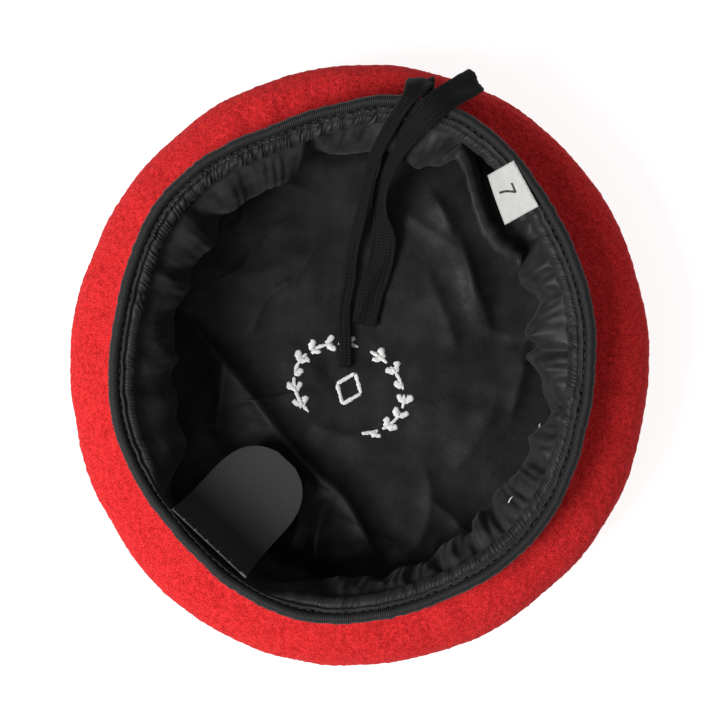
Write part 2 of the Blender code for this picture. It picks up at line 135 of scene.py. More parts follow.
# Tucks that run down from the heading: angle, depth, half width in degrees, lean and reach.
TUCKS = (
    (159.5, 6.0, 2.4, -7.0, 0.62), (122.5, 4.5, 1.8, 3.0, 0.55), (176.0, 4.0, 1.4, -4.0, 0.60),
    (201.0, 3.5, 1.6, -9.0, 0.50), (211.0, 2.6, 1.3, -5.0, 0.45), (222.5, 3.0, 1.6, -6.0, 0.55),
    (143.0, 1.6, 2.6, 4.0, 0.50), (188.0, 1.6, 2.2, 3.0, 0.45), (108.0, 2.2, 1.8, -3.0, 0.50),
    (88.0, 3.4, 1.7, 5.0, 0.55), (79.0, 2.2, 1.6, -4.0, 0.50), (52.0, 2.6, 1.2, 5.0, 0.50),
    (46.0, 2.8, 1.1, -4.0, 0.55), (40.0, 3.4, 1.4, 3.0, 0.60), (24.0, 6.5, 2.0, 6.0, 0.66),
    (11.0, 4.4, 1.5, -6.0, 0.60), (3.0, 2.2, 1.2, 3.0, 0.45), (352.0, 4.0, 1.6, 5.0, 0.60),
    (344.0, 1.8, 1.2, -4.0, 0.50), (333.0, 3.0, 1.4, 4.0, 0.55), (324.0, 3.6, 1.6, 6.0, 0.60),
    (315.0, 4.2, 1.5, -5.0, 0.60), (307.0, 3.2, 1.4, 4.0, 0.60), (298.0, 2.4, 1.6, 3.0, 0.50),
    (284.0, 4.8, 2.6, -6.0, 0.60),
)
# Ridges that lean: angle at the heading, lean, height, half width, and where they begin and end.
RIDGES = (
    (98.0, -10.0, 4.0, 2.2, 0.05, 0.45), (34.0, -26.0, 5.0, 2.2, 0.10, 0.60),
    (105.0, 6.0, 3.0, 2.5, 0.05, 0.45), (18.0, 14.0, 4.0, 2.4, 0.10, 0.55),
    (326.0, 10.0, 3.0, 2.0, 0.10, 0.55),
    (300.0, -12.0, 3.5, 2.4, 0.08, 0.50), (196.0, 14.0, 2.5, 2.0, 0.10, 0.50),
    (150.0, -16.0, 2.0, 2.6, 0.08, 0.50),
)
# The pocket beside the label: the angles it lies between, then how far in its roll reaches and how high
# it is, from its first end (0) to its last (1).
CRESCENT = (86.0, 53.0)
CRESCENT_REACH = (
    (0.0, 0.07, 0.14, 0.23, 0.33, 0.46, 0.61, 0.82, 1.0),
    (85.5, 84.0, 81.5, 77.2, 73.4, 69.6, 67.0, 67.3, 70.5),
)
CRESCENT_LEVEL = ((0.0, 0.14, 0.33, 1.0), (48.0, 44.5, 39.0, 33.0))
SATIN = 0.30
SIDE_COLUMNS, SIDE_ROWS = 480, 52
SETTLE_FRAMES = 24
WALL_COLUMNS = 180
WALL_GAP = 0.6 * MM
SMOOTHINGS = 5
FINE_COLUMNS = 720
HEADING_BEADS = 330
HEADING_BEAD = 0.74
HEADING_SECTION = (
    (0.25, -3.4), (0.05, -2.3), (-0.15, -1.6), (-0.55, -1.35), (-0.95, -1.7), (-1.15, -2.5), (-1.30, -3.2),
    (-1.55, -3.2), (-2.15, -2.9), (-2.95, -3.0), (-3.75, -3.5), (-4.45, -4.3), (-4.90, -5.3), (-5.05, -6.4),
    (-4.90, -7.4), (-4.60, -8.6),
)
BESIDE_FLAP = 17.0
CROWN_COLUMNS, CROWN_RINGS = 540, 86
# Folds of the crown lining: points (x, y), height, half width on the near side and on the far side.
CROWN_FOLDS = (
    (((-76, -5), (-64, -11), (-52, -17), (-39, -24), (-27, -31), (-15, -38), (-4, -44), (8, -49)),
     7.5, 3.5, 12.0),
    (((-16, -38), (-6, -42), (3, -46), (12, -49), (22, -56), (31, -64), (42, -70)), 8.5, 4.0, 11.0),
    (((10, -48), (8, -56), (9, -65), (11, -73), (17, -81), (27, -88)), 9.0, 11.0, 5.5),
    (((-3, -47), (-2, -57), (1, -68), (1, -81), (1, -90)), 6.0, 8.0, 9.0),
    (((-52, -9), (-47, -25), (-43, -40), (-36, -52)), 3.5, 5.0, 7.0),
    (((-78, 12), (-60, 14), (-45, 22), (-34, 36), (-28, 50)), 1.6, 10.0, 12.0),
    (((-40, -16), (-20, -8), (-4, -14), (8, -24)), 0.9, 9.0, 9.0),
    (((15, 64), (21, 56), (28, 47), (35, 39), (44, 30)), 5.0, 3.5, 9.0),
    (((-1, 74), (9, 66), (17, 58)), 3.2, 3.5, 5.0),
    (((9, 46), (18, 36), (26, 28), (34, 18)), 2.0, 4.0, 8.0),
    (((44, -38), (57, -42), (66, -47)), 2.0, 3.0, 5.0),
    (((38, -26), (45, -38), (47, -52), (44, -64)), 2.2, 4.0, 6.0),
    (((52, 16), (54, 0), (52, -16), (46, -30)), 2.0, 8.0, 10.0),
    (((56, 34), (60, 18), (62, 2)), 3.2, 4.0, 8.0),
    (((22, -18), (34, -10), (44, 4)), 1.0, 9.0, 9.0),
)
# Its fine creases: seed, wavelengths of the creases, wavelengths and edge of the areas that have them,
# height and sharpness.
CROWN_CREASES = (
    (53, (34.0, 80.0), (60.0, 120.0), (-0.2, 0.9), 1.1, 3.2),
    (55, (22.0, 46.0), (40.0, 90.0), (0.0, 1.0), 0.8, 3.6),
)
# Near the tails, which lie on the lining where they are lower than this, the folds stay this low.
TAIL_LIES_BELOW = 12.0
CALM_FOLDS = 0.55

PRINT_MIDDLE = (-0.5, -10.0)
PRINT_TURN = math.radians(-22.0)
WREATH = (22.0, 16.5)
WREATH_ARCS = (
    (-60, -41), (-36, -5), (2, 21), (27, 58), (63, 84), (97, 118), (124, 150), (157, 187), (193, 240),
)

# The braid's stitch and relief, and how far each side of the creased tail opens where it bends.
BRAID_STITCH = 1.25
BRAID_RELIEF = 0.20
CREASE_OPENS = 1.1
# The width of a thread's ends, as a share of its width.
TUBE_END = 0.45


# ---- Shared geometry
def waves(terms, angle):
    return sum(size * np.cos(count * np.radians(angle - peak)) for count, size, peak in terms)


def out(angle):
    """Level unit vectors at these angles."""
    a = np.radians(angle)
    return np.stack([np.cos(a), np.sin(a), np.zeros_like(a)], axis=-1)


def body_point(angle, share, z):
    angle, share, z = np.broadcast_arrays(np.asarray(angle, float), share, z)
    radius = BODY_RADIUS * (1.0 + waves(BODY_WAVES, angle)) * share
    place = out(angle) * radius[..., None]
    place[..., 2] = z
    return place


def rim_point(angle, u, v):
    """u mm outside the rim's outline and v mm above the binding's top."""
    angle, u, v = np.broadcast_arrays(np.asarray(angle, float), u, v)
    radius = RIM_RADIUS + waves(RIM_WAVES, angle) + u
    place = out(angle) * radius[..., None]
    place[..., 0] += RIM_CENTRE[0]
    place[..., 1] += RIM_CENTRE[1]
    place[..., 2] = RIM_TOP + RIM_DIP * np.cos(2.0 * np.radians(angle - RIM_DIP_AT)) + v
    return place


def bezier(a, b, c, d, t):
    s = 1.0 - t
    return a * s**3 + b * (3 * s * s * t) + c * (3 * s * t * t) + d * t**3


def smooth_step(value, low, high):
    t = np.clip((value - low) / (high - low), 0.0, 1.0)
    return t * t * (3.0 - 2.0 * t)


def between(value, a, b, c, d):
    """Rises from 0 to 1 between a and b, and falls to 0 again between c and d."""
    return smooth_step(value, a, b) * (1.0 - smooth_step(value, c, d))


def turned(angle):
    """The same angle between -180 and 180."""
    return (angle + 180.0) % 360.0 - 180.0


def unit(ways):
    return ways / np.linalg.norm(ways, axis=-1, keepdims=True)


def pressed(angle):
    """0 behind the badge stiffener, where the lining lies flat, and 1 away from it."""
    return smooth_step(np.abs(turned(angle - FLAP_AT)), 15.0, 26.0)


def ripple(places, seed, count, low, high, stretch=(1.0, 1.0, 1.0)):
    """Smooth noise of about unit height, of wavelengths from low to high mm."""
    rng = np.random.default_rng(seed)
    places = places / np.array(stretch)
    total = np.zeros(places.shape[:-1])
    for _ in range(count):
        way = rng.normal(size=3)
        way /= np.linalg.norm(way)
        length = low * (high / low) ** rng.random()
        total += np.cos(places @ (way * TAU / length) + rng.random() * TAU)
    return total * math.sqrt(2.0 / count)


def ring_ripple(angle, seed, count, low, high):
    """Smooth noise round the rim, of low to high waves in a turn."""
    rng = np.random.default_rng(seed)
    total = np.zeros(np.shape(angle))
    for _ in range(count):
        total = total + np.cos(rng.integers(low, high + 1) * np.radians(angle) + rng.random() * TAU)
    return total * math.sqrt(2.0 / count)


def catmull_rom(a, b, c, d, t):
    return 0.5 * (2 * b + (c - a) * t + (2 * a - 5 * b + 4 * c - d) * t**2 + (3 * b - a - 3 * c + d) * t**3)


def spline(points, steps):
    """A Catmull-Rom curve through rows of numbers, with this many steps from each to the next."""
    p = np.array(points, float)
    p = np.vstack([2 * p[0] - p[1], p, 2 * p[-1] - p[-2]])
    t = (np.arange(steps) / steps)[:, None]
    rows = [catmull_rom(*p[i - 1 : i + 3], t) for i in range(1, len(p) - 2)]
    return np.vstack([*rows, p[-2][None]])


def evenly(points, step):
    """The line resampled at about this step, all its columns with it."""
    gaps = np.linalg.norm(np.diff(points[:, :3], axis=0), axis=1)
    along = np.concatenate([[0.0], np.cumsum(gaps)])
    count = max(2, int(round(along[-1] / step)) + 1)
    want = np.linspace(0.0, along[-1], count)
    return np.stack([np.interp(want, along, points[:, k]) for k in range(points.shape[1])], axis=1), want


def ring_table(angle, table):
    """A smooth reading of (angle, value) pairs round the turn, which the table lists in order."""
    x, y = np.array(table, float).T
    x = np.concatenate([x[-2:] - 360.0, x, x[:2] + 360.0])
    y = np.concatenate([y[-2:], y, y[:2]])
    t = np.linspace(0.0, 1.0, 12, endpoint=False)[:, None]
    fine_x = x[1:-2] + (x[2:-1] - x[1:-2]) * t
    fine_y = y[1:-2] + (y[2:-1] - y[1:-2]) * (t * t * (3.0 - 2.0 * t))
    return np.interp(np.asarray(angle) % 360.0, fine_x.T.ravel(), fine_y.T.ravel())


# ---- Meshes
def grid_faces(rows, columns, closed, start=0):
    r = np.arange(rows - 1)[:, None] * columns
    c = np.arange(columns if closed else columns - 1)[None, :]
    after = (c + 1) % columns
    quads = np.stack([r + c, r + after, r + columns + after, r + columns + c], -1)
    return quads.reshape(-1, 4) + start


def joined(grids, closed):
    """The points and faces of several grids together. Closed ones are tubes, capped at both ends."""
    points, faces, start = [], [], 0
    for grid in grids:
        rows, columns = grid.shape[:2]
        faces += grid_faces(rows, columns, closed, start).tolist()
        if closed:
            cap = [start + k for k in range(columns)]
            faces += [cap, [k + (rows - 1) * columns for k in cap][::-1]]
        points.append(grid.reshape(-1, 3))
        start += rows * columns
    return np.concatenate(points), faces


def link(name, data):
    obj = bpy.data.objects.new(name, data)
    bpy.context.scene.collection.objects.link(obj)
    return obj


def mesh_object(name, points, faces):
    """An object from points in mm and faces of any size."""
    mesh = bpy.data.meshes.new(name)
    mesh.from_pydata((points * MM).reshape(-1, 3).tolist(), [], [list(f) for f in faces])
    return link(name, mesh)


def add_mesh(name, points, faces, material, body="beret"):
    """A piece that rides on a body, or on none."""
    obj = mesh_object(name, points, faces)
    obj.data.materials.append(material)
    obj.data.shade_smooth()
    if body:
        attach(obj, body)
    return obj


def normals_of(grid, closed):
    """Unit normals of a grid of points."""
    if closed:
        along = np.roll(grid, -1, axis=1) - np.roll(grid, 1, axis=1)
    else:
        along = np.gradient(grid, axis=1)
    n = np.cross(along, np.gradient(grid, axis=0))
    return n / np.maximum(np.linalg.norm(n, axis=-1, keepdims=True), 1e-9)


def unwrap(obj, first, second):
    """A UV map that gives each vertex these two numbers."""
    places = np.stack(np.broadcast_arrays(first, second), -1).reshape(-1, 2)
    layer = obj.data.uv_layers.new(name="weave")
    corner = np.empty(len(obj.data.loops), dtype=np.int64)
    obj.data.loops.foreach_get("vertex_index", corner)
    layer.data.foreach_set("uv", places[corner].astype(np.float32).ravel())


def tidy_normals(obj):
    work = bmesh.new()
    work.from_mesh(obj.data)
    bmesh.ops.recalc_face_normals(work, faces=work.faces)
    work.to_mesh(obj.data)
    work.free()


def thicken(obj, thickness):
    change = obj.modifiers.new("thickness", "SOLIDIFY")
    change.thickness = thickness * MM
    change.offset = 0.0


def tubes(name, lines, radius, sides, material, body="beret"):
    """Many fine closed tubes as one piece."""
    ring = np.arange(sides) * TAU / sides
    grids = []
    for line in lines:
        way = unit(np.gradient(line, axis=0))
        level = np.abs(way[:, 2:3]) <= 0.9
        side = unit(np.cross(way, np.where(level, [[0.0, 0.0, 1.0]], [[1.0, 0.0, 0.0]])))
        up = np.cross(side, way)
        taper = np.ones(len(line))
        taper[0] = taper[-1] = TUBE_END
        loop = np.cos(ring)[None, :, None] * side[:, None] + np.sin(ring)[None, :, None] * up[:, None]
        grids.append(line[:, None] + (radius * taper)[:, None, None] * loop)
    obj = add_mesh(name, *joined(grids, True), material, body)
    tidy_normals(obj)
    return obj


def stitches(path, lift, length, gap, height):
    """Separate stitches along a path: each dips into the cloth at its ends. lift points out of it."""
    line, along = evenly(np.concatenate([path, lift], axis=1), 0.25)
    bow = np.array([-0.5, 0.65, 1.0, 1.0, 0.65, -0.5]) * height
    found = []
    start = 0.5 * gap
    while start + length < along[-1]:
        t = np.linspace(start, start + length, 6)
        place = np.stack([np.interp(t, along, line[:, k]) for k in range(6)], axis=1)
        found.append(place[:, :3] + place[:, 3:] * bow[:, None])
        start += length + gap
    return found


# ---- Materials
class Finish:
    """A procedural material on a Principled shader, placed by real size."""

    def __init__(self, name, colour, roughness, specular=0.5):
        self.material = bpy.data.materials.new(name)
        self.material.use_nodes = True
        self.tree = self.material.node_tree
        self.shader = self.tree.nodes["Principled BSDF"]
        self.coordinates = self.tree.nodes.new("ShaderNodeTexCoord")
        self.last_bump = self.last_colour = None
        self.socket("Base Color", (*colour, 1.0)).socket("Roughness", roughness)
        self.socket("Specular IOR Level", specular)

    def put(self, node, name, value):
        """Links an output to a node's input, or gives the input a value."""
        if isinstance(value, bpy.types.NodeSocket):
            self.tree.links.new(value, node.inputs[name])
        else:
            node.inputs[name].default_value = value

    def socket(self, name, value):
        self.put(self.shader, name, value)
        return self

    def node(self, kind, inputs):
        made = self.tree.nodes.new("ShaderNode" + kind)
        for name, value in inputs.items():
            self.put(made, name, value)
        return made

    def work(self, kind, *values):
        """A sum on sockets or numbers."""
        made = self.node("Math", {})
        made.operation = kind
        for k, value in enumerate(values):
            self.put(made, k, value)
        return made.outputs["Value"]

    def noise(self, size, detail=2.0, stretch=(1.0, 1.0, 1.0)):
        """Noise whose blobs are about size mm across."""
        scale = tuple(1.0 / (s * size * MM) for s in stretch)
        place = self.node("Mapping", {"Vector": self.coordinates.outputs["Object"], "Scale": scale})
        fine = {"Vector": place.outputs["Vector"], "Scale": 1.0, "Detail": detail}
        return self.node("TexNoise", fine).outputs["Fac"]

    def mapped(self, which):
        """The first (X) or the second (Y) number of the UV map."""
        return self.node("SeparateXYZ", {"Vector": self.coordinates.outputs["UV"]}).outputs[which]

    def rib_shade(self):
        """A wave across a ribbon, one to a rib, for painted shade in its grooves and painted light on its
        ridges: the first number of the UV map counts the ribs.
        """
        wave = self.work("COSINE", self.work("MULTIPLY", self.mapped("X"), TAU))
        return self.work("MULTIPLY_ADD", wave, 0.5, 0.5)

    def braid(self):
        """Painted shade and highlight of chained stitches in lanes: lighter on the raised chain, darker
        between stitches and towards each lane's edges. The first number of the UV map counts lanes, the
        second stitches.
        """
        lane = self.work("FRACT", self.mapped("X"))
        beside = self.work("ABSOLUTE", self.work("MULTIPLY_ADD", lane, 2.0, -1.0))
        slant = self.work("MULTIPLY_ADD", beside, 0.45, self.mapped("Y"))
        wave = self.work("SINE", self.work("MULTIPLY", slant, TAU))
        chain = self.work("MULTIPLY_ADD", wave, 0.45, 0.55)
        lane_top = self.work("MULTIPLY_ADD", self.work("POWER", beside, 4.0), -0.6, 1.0)
        return self.work("MULTIPLY", chain, lane_top)

    def mottle(self, value, dark, light, low=0.35, high=0.65):
        """Colour that runs from dark to light with the value, mixed half and half with any before it."""
        ramp = self.node("ValToRGB", {"Fac": value})
        for end, place, colour in zip(ramp.color_ramp.elements, (low, high), (dark, light)):
            end.position = place
            end.color = (*colour, 1.0)
        colour = ramp.outputs["Color"]
        if self.last_colour is not None:
            mix = self.node("Mix", {})
            mix.data_type = "RGBA"
            for name, given in (("Factor", 0.5), ("A", self.last_colour), ("B", colour)):
                self.put(mix, name, given)
            colour = mix.outputs["Result"]
        self.last_colour = colour
        return self.socket("Base Color", colour)

    def rough(self, value, low, high):
        span = {"Value": value, "From Min": 0.3, "From Max": 0.7, "To Min": low, "To Max": high}
        return self.socket("Roughness", self.node("MapRange", span).outputs["Result"])

    def bump(self, value, depth):
        """Relief of this depth in mm, on top of any before it."""
        relief = {"Height": value, "Strength": 1.0, "Distance": depth * MM}
        if self.last_bump is not None:
            relief["Normal"] = self.last_bump
        self.last_bump = self.node("Bump", relief).outputs["Normal"]
        return self.socket("Normal", self.last_bump)


def grey(value):
    return value, value, value


def felt_finish():
    f = Finish("felt_red", (0.62, 0.016, 0.018), 0.95, 0.10)
    f.mottle(f.noise(0.5, 3.0), (0.25, 0.002, 0.004), (0.95, 0.050, 0.052), 0.38, 0.62)
    f.mottle(f.noise(1.9, 4.0), (0.46, 0.007, 0.009), (0.80, 0.026, 0.028), 0.35, 0.65)
    f.bump(f.noise(0.5, 3.0), 0.30)
    f.bump(f.noise(1.6, 3.0), 0.35)
    f.socket("Sheen Weight", 0.10).socket("Sheen Roughness", 0.5)
    f.socket("Sheen Tint", (1.0, 0.15, 0.15, 1.0))
    return f.material


def ribbon_finish():
    f = Finish("grosgrain", (0.020, 0.020, 0.021), 0.62, 0.25)
    # Painted shade in the grooves between the ribs and painted light on their ridges, in step with the
    # modelled ribs.
    f.mottle(f.rib_shade(), grey(0.001), (0.042, 0.043, 0.045), 0.0, 1.0)
    f.mottle(f.noise(0.5, 2.0), (0.006, 0.006, 0.007), (0.015, 0.015, 0.016))
    f.bump(f.noise(0.16, 2.0), 0.02)
    f.socket("Sheen Weight", 0.04).socket("Sheen Roughness", 0.4)
    return f.material


def satin_finish(name, deep, light, gloss):
    f = Finish(name, deep, 0.5, 0.4 * gloss)
    f.mottle(f.noise(6.0, 3.0), deep, light)
    f.rough(f.noise(4.0, 2.0), 0.46, 0.58)
    f.bump(f.noise(1.4, 3.0), 0.10)
    f.bump(f.noise(0.14, 1.0, (1.0, 1.0, 4.0)), 0.012)
    f.socket("Sheen Weight", 0.10 * gloss).socket("Sheen Roughness", 0.45)
    return f.material


def board_finish():
    f = Finish("board_black", (0.075, 0.073, 0.072), 0.55, 0.5)
    f.mottle(f.noise(0.8, 3.0), (0.066, 0.064, 0.064), (0.100, 0.097, 0.096))
    # Painted shade: the board turns near black towards its sewn top, for the shadow of the rim and of its
    # steep first part, and fades out between 0.36 and 0.50 of its length.
    f.mottle(f.mapped("Y"), grey(0.004), (0.084, 0.081, 0.080), 0.36, 0.50)
    f.rough(f.noise(0.5, 2.0), 0.46, 0.62)
    f.bump(f.noise(0.32, 3.0), 0.06)
    return f.material


def tape_finish(name, mapped):
    f = Finish(name, grey(0.006), 0.78, 0.12)
    if mapped:
        # Painted shade between the braid's stitches and at its lanes' edges, and painted highlight on its
        # raised chain.
        f.mottle(f.braid(), grey(0.001), (0.015, 0.015, 0.016), 0.20, 0.90)
    f.mottle(f.noise(0.4, 2.0), grey(0.001), grey(0.009))
    f.bump(f.noise(0.12, 2.0), 0.03)
    f.socket("Sheen Weight", 0.04).socket("Sheen Roughness", 0.5)
    return f.material


def label_finish():
    f = Finish("label_white", (0.50, 0.50, 0.48), 0.5, 0.3)
    f.mottle(f.noise(2.5, 3.0), (0.475, 0.475, 0.455), (0.515, 0.515, 0.495))
    f.bump(f.noise(0.15, 1.0, (1.0, 3.0, 3.0)), 0.02)
    return f.material


def thread_finish(name, dark, light):
    f = Finish(name, light, 0.55, 0.5)
    f.mottle(f.noise(0.3, 2.0), dark, light)
    f.bump(f.noise(0.1, 1.0), 0.02)
    f.socket("Sheen Weight", 0.1)
    return f.material


def ink_finish(name, dark, light):
    f = Finish(name, light, 0.6, 0.4)
    f.mottle(f.noise(1.2, 3.0), dark, light)
    f.bump(f.noise(0.3, 2.0), 0.01)
    return f.material


# ---- Camera, floor and lights
VIEW_TURN = 22.0
CAMERA_OVER = (-0.70, 1.84)
CAMERA_HEIGHT = 1100.0
# A pixel's size in mm, in a picture 720 wide, at this distance from the lens.
PIXEL = 0.367
PICTURE = 720.0
CAMERA_DISTANCE = 1038.0
SENSOR = 36.0
VIEW_RIGHT, VIEW_UP = out(np.array([VIEW_TURN, VIEW_TURN + 90.0]))
FLOOR_HALF = 3000.0
FLOOR_Z = -0.05


def camera():
    data = bpy.data.cameras.new("camera")
    data.sensor_width = SENSOR
    data.lens = SENSOR * CAMERA_DISTANCE / (PIXEL * PICTURE)
    data.clip_start = 0.05
    obj = link("camera", data)
    obj.location = (CAMERA_OVER[0] * MM, CAMERA_OVER[1] * MM, CAMERA_HEIGHT * MM)
    obj.rotation_euler = (0.0, 0.0, math.radians(VIEW_TURN))
    bpy.context.scene.camera = obj


def floor():
    f = Finish("floor_white", grey(0.25), 0.9, 0.2)
    f.mottle(f.noise(180.0, 1.0), grey(0.24), grey(0.26))
    f.socket("Emission Color", (1.0, 1.0, 1.0, 1.0)).socket("Emission Strength", 0.90)
    corners = [(x * FLOOR_HALF, y * FLOOR_HALF, FLOOR_Z) for x, y in ((-1, -1), (1, -1), (1, 1), (-1, 1))]
    obj = mesh_object("floor", np.array(corners), [(0, 1, 2, 3)])
    obj.data.materials.append(f.material)


def area_light(name, right, up, height, size, power):
    """A square light over the beret, placed in metres along the camera's right and up."""
    data = bpy.data.lights.new(name, "AREA")
    data.size = size
    data.energy = power
    obj = link(name, data)
    obj.location = place = Vector(VIEW_RIGHT * right + VIEW_UP * up + np.array([0.0, 0.0, height]))
    obj.rotation_euler = (-place).to_track_quat("-Z", "Y").to_euler()


def lights():
    world = bpy.data.worlds.new("studio")
    world.use_nodes = True
    back = world.node_tree.nodes["Background"]
    back.inputs["Color"].default_value = (1.0, 1.0, 1.0, 1.0)
    back.inputs["Strength"].default_value = 0.12
    bpy.context.scene.world = world
    area_light("key", -1.08, -0.58, 1.42, 0.8, 40.5)
    area_light("overhead", 0.0, -0.2, 1.75, 1.2, 3.3)
    bpy.context.scene.view_settings.view_transform = "Standard"


# ---- The drawcord's tails
def tape(name, node, route, thick, columns, material, seed):
    """A flat braid along its route: columns of chained stitches along it, thicker at its two edges."""
    line, along = evenly(spline(route, 12), 0.28)
    centre = line[:, :3]
    way = unit(np.gradient(centre, axis=0))
    turn = line[:, 3] + 1.2 * np.sin(along / 7.0 + seed)
    lift = np.radians(line[:, 4])
    wide = out(turn) * np.cos(lift)[:, None]
    wide[:, 2] = np.sin(lift)
    wide = unit(wide - way * np.sum(wide * way, axis=1, keepdims=True))
    up = np.cross(way, wide)
    w = np.linspace(-1.0, 1.0, 8 * columns + 1)
    opened = between(along, 1.0, 4.0, 14.0, 24.0)
    half = (line[:, 5] + (CREASE_OPENS if thick > 1.0 else 0.0) * opened)[:, None]
    column = (w * 0.5 + 0.5) * columns
    middle = np.abs((column % 1.0) * 2.0 - 1.0)  # 0 in the middle of a column, 1 at its sides
    stitch = along[:, None] / BRAID_STITCH + 0.45 * middle[None]
    chain = np.sin(TAU * (stitch + 0.13 * np.floor(column)[None] * 3.0))
    ridge = 0.55 * (1.0 - middle**2)[None] + 0.45 * (0.5 + 0.5 * chain) * (1.0 - middle**4)[None]
    edge = 1.0 + 0.10 * np.exp(-(((1.0 - np.abs(w)) / 0.12) ** 2))[None]
    shape = np.sqrt(np.clip(1.0 - np.abs(w) ** 10, 0.0, 1.0))[None]
    core = 0.5 * thick - BRAID_RELIEF
    height = core * edge * shape + BRAID_RELIEF * ridge * shape
    back = 0.55 * (1.0 - middle**2)[None] + 0.45 * (0.5 - 0.5 * np.sin(TAU * stitch))
    low = core * shape + BRAID_RELIEF * shape * back
    wobble = 1.0 + 0.02 * np.sin(along / 3.1 + seed) + 0.012 * np.sin(along / 1.3)
    spread = centre[:, None] + wide[:, None] * (half * wobble[:, None] * w)[..., None]
    full = np.clip(half / 5.0, 0.0, 1.0) ** 2
    cup = 0.45 * np.sin(along / 11.0 + seed) + 0.25 * np.sin(along / 4.3 + 2.0 * seed)
    cup = (cup * smooth_step(along, 0.0, 8.0))[:, None] * full * (w**2 - 0.4)
    curl = (cup + 0.42 * np.sin(4.2 * w + along[:, None] / 7.0)) * full
    spread = spread + up[:, None] * curl[..., None]
    top = spread + up[:, None] * height[..., None]
    bottom = spread - up[:, None] * low[..., None]
    obj = add_mesh(name, *joined([np.concatenate([top, bottom[:, -2:0:-1]], axis=1)], True), material)
    tidy_normals(obj)
    # The UV map places the braid's painted shade and highlight on its stitches.
    unwrap(obj, np.concatenate([column, column[-2:0:-1]])[None], along[:, None] / BRAID_STITCH)
    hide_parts(node)
    end = (centre[-1], way[-1], wide[-1], up[-1], float(half[-1, 0]))
    fray = frayed_end(name + "_fray", *end, thick, seed, material)


def frayed_end(name, end, way, wide, up, half, thick, seed, material):
    """Short loose yarns at the cut end of a tape."""
    rng = np.random.default_rng(seed)
    lines = []
    for w in np.linspace(-0.9, 0.9, 15):
        start = end + wide * (half * w) - way * 0.5 + up * rng.uniform(-0.25, 0.25) * thick
        tip = start + way * rng.uniform(0.9, 2.1) + wide * rng.uniform(-0.4, 0.4)
        lines.append(np.array([start, 0.5 * (start + tip) + up * rng.uniform(0.0, 0.15), tip]))
    return tubes(name, lines, 0.16, 5, material)


# ---- Felt
def felt_rows(angle, bends, inset, lift, ends, steps):
    """Rows of the felt's section: the bend of its shoulder, then its underside as far as the rim."""
    rows = []
    for bend in bends:
        share = FLAT_SHARE + (1.0 - FLAT_SHARE) * math.sin(bend) - inset
        rows.append(body_point(angle, share, WIDEST_Z * (1.0 - math.cos(bend)) + lift))
    return rows + [bezier(*ends, t) for t in np.linspace(0.0, 1.0, steps)[1:]]


def felt_body(material):
    """The milled felt: crown, shoulder, underside and neck, with its thickness."""
    angle = np.arange(FELT_COLUMNS) * 360.0 / FELT_COLUMNS
    foot = rim_point(angle, *FELT_NECK[0])
    ends = (
        body_point(angle, 1.0, WIDEST_Z), body_point(angle, 1.0, WIDEST_Z + UNDERSIDE_RISE),
        rim_point(angle, *UNDERSIDE_NEAR_RIM), foot,
    )
    rows = [body_point(angle, share, 0.0) for share in np.linspace(0.02, FLAT_SHARE, 14)]
    rows += felt_rows(angle, np.linspace(0.0, 0.5 * math.pi, 22)[1:], 0.0, 0.0, ends, 34)
    rows += [foot * (1.0 - t) + rim_point(angle, *FELT_NECK[1]) * t for t in np.linspace(0.0, 1.0, 4)[1:]]
    outside = np.array(rows)
    count = len(rows)
    n = normals_of(outside, True)
    if np.mean(n[40] * out(angle)) < 0:
        n = -n
    inside = outside - n * FELT
    inside[..., 2] = np.where(outside[..., 2] < 0.5, FELT, inside[..., 2])
    row = np.arange(count)[:, None]
    free = between(row, 10, 22, count - 12, count - 4)
    gather = ring_ripple(angle, 5, 14, 16, 46)[None] * smooth_step(row, 40, 58)
    lump = 0.22 * ripple(outside, 11, 30, 18.0, 55.0) + 0.11 * ripple(outside, 12, 60, 1.6, 4.0)
    outside = outside + n * ((lump + 0.22 * gather) * free)[..., None]
    outside[..., 2] = np.maximum(outside[..., 2], 0.0)
    inside = inside[[*range(0, 14, 4), *range(14, 35, 3), *range(35, 69, 4), count - 3, count - 1]]
    grid = np.concatenate([outside, inside[::-1]])
    faces = grid_faces(*grid.shape[:2], True).tolist()
    hub = grid.shape[0] * FELT_COLUMNS
    last = hub - FELT_COLUMNS
    for c in range(FELT_COLUMNS):
        after = (c + 1) % FELT_COLUMNS
        faces += [[hub, after, c], [hub + 1, last + c, last + after]]
    hubs = [[0.0, 0.0, 0.0], [0.0, 0.0, FELT]]
    obj = add_mesh("felt_body", np.concatenate([grid.reshape(-1, 3), hubs]), faces, material)
    tidy_normals(obj)
    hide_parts("felt_shell")


# ---- Binding
def open_angles(count):
    return np.linspace(EXIT_AT + EXIT_HALF, EXIT_AT - EXIT_HALF + 360.0, count)


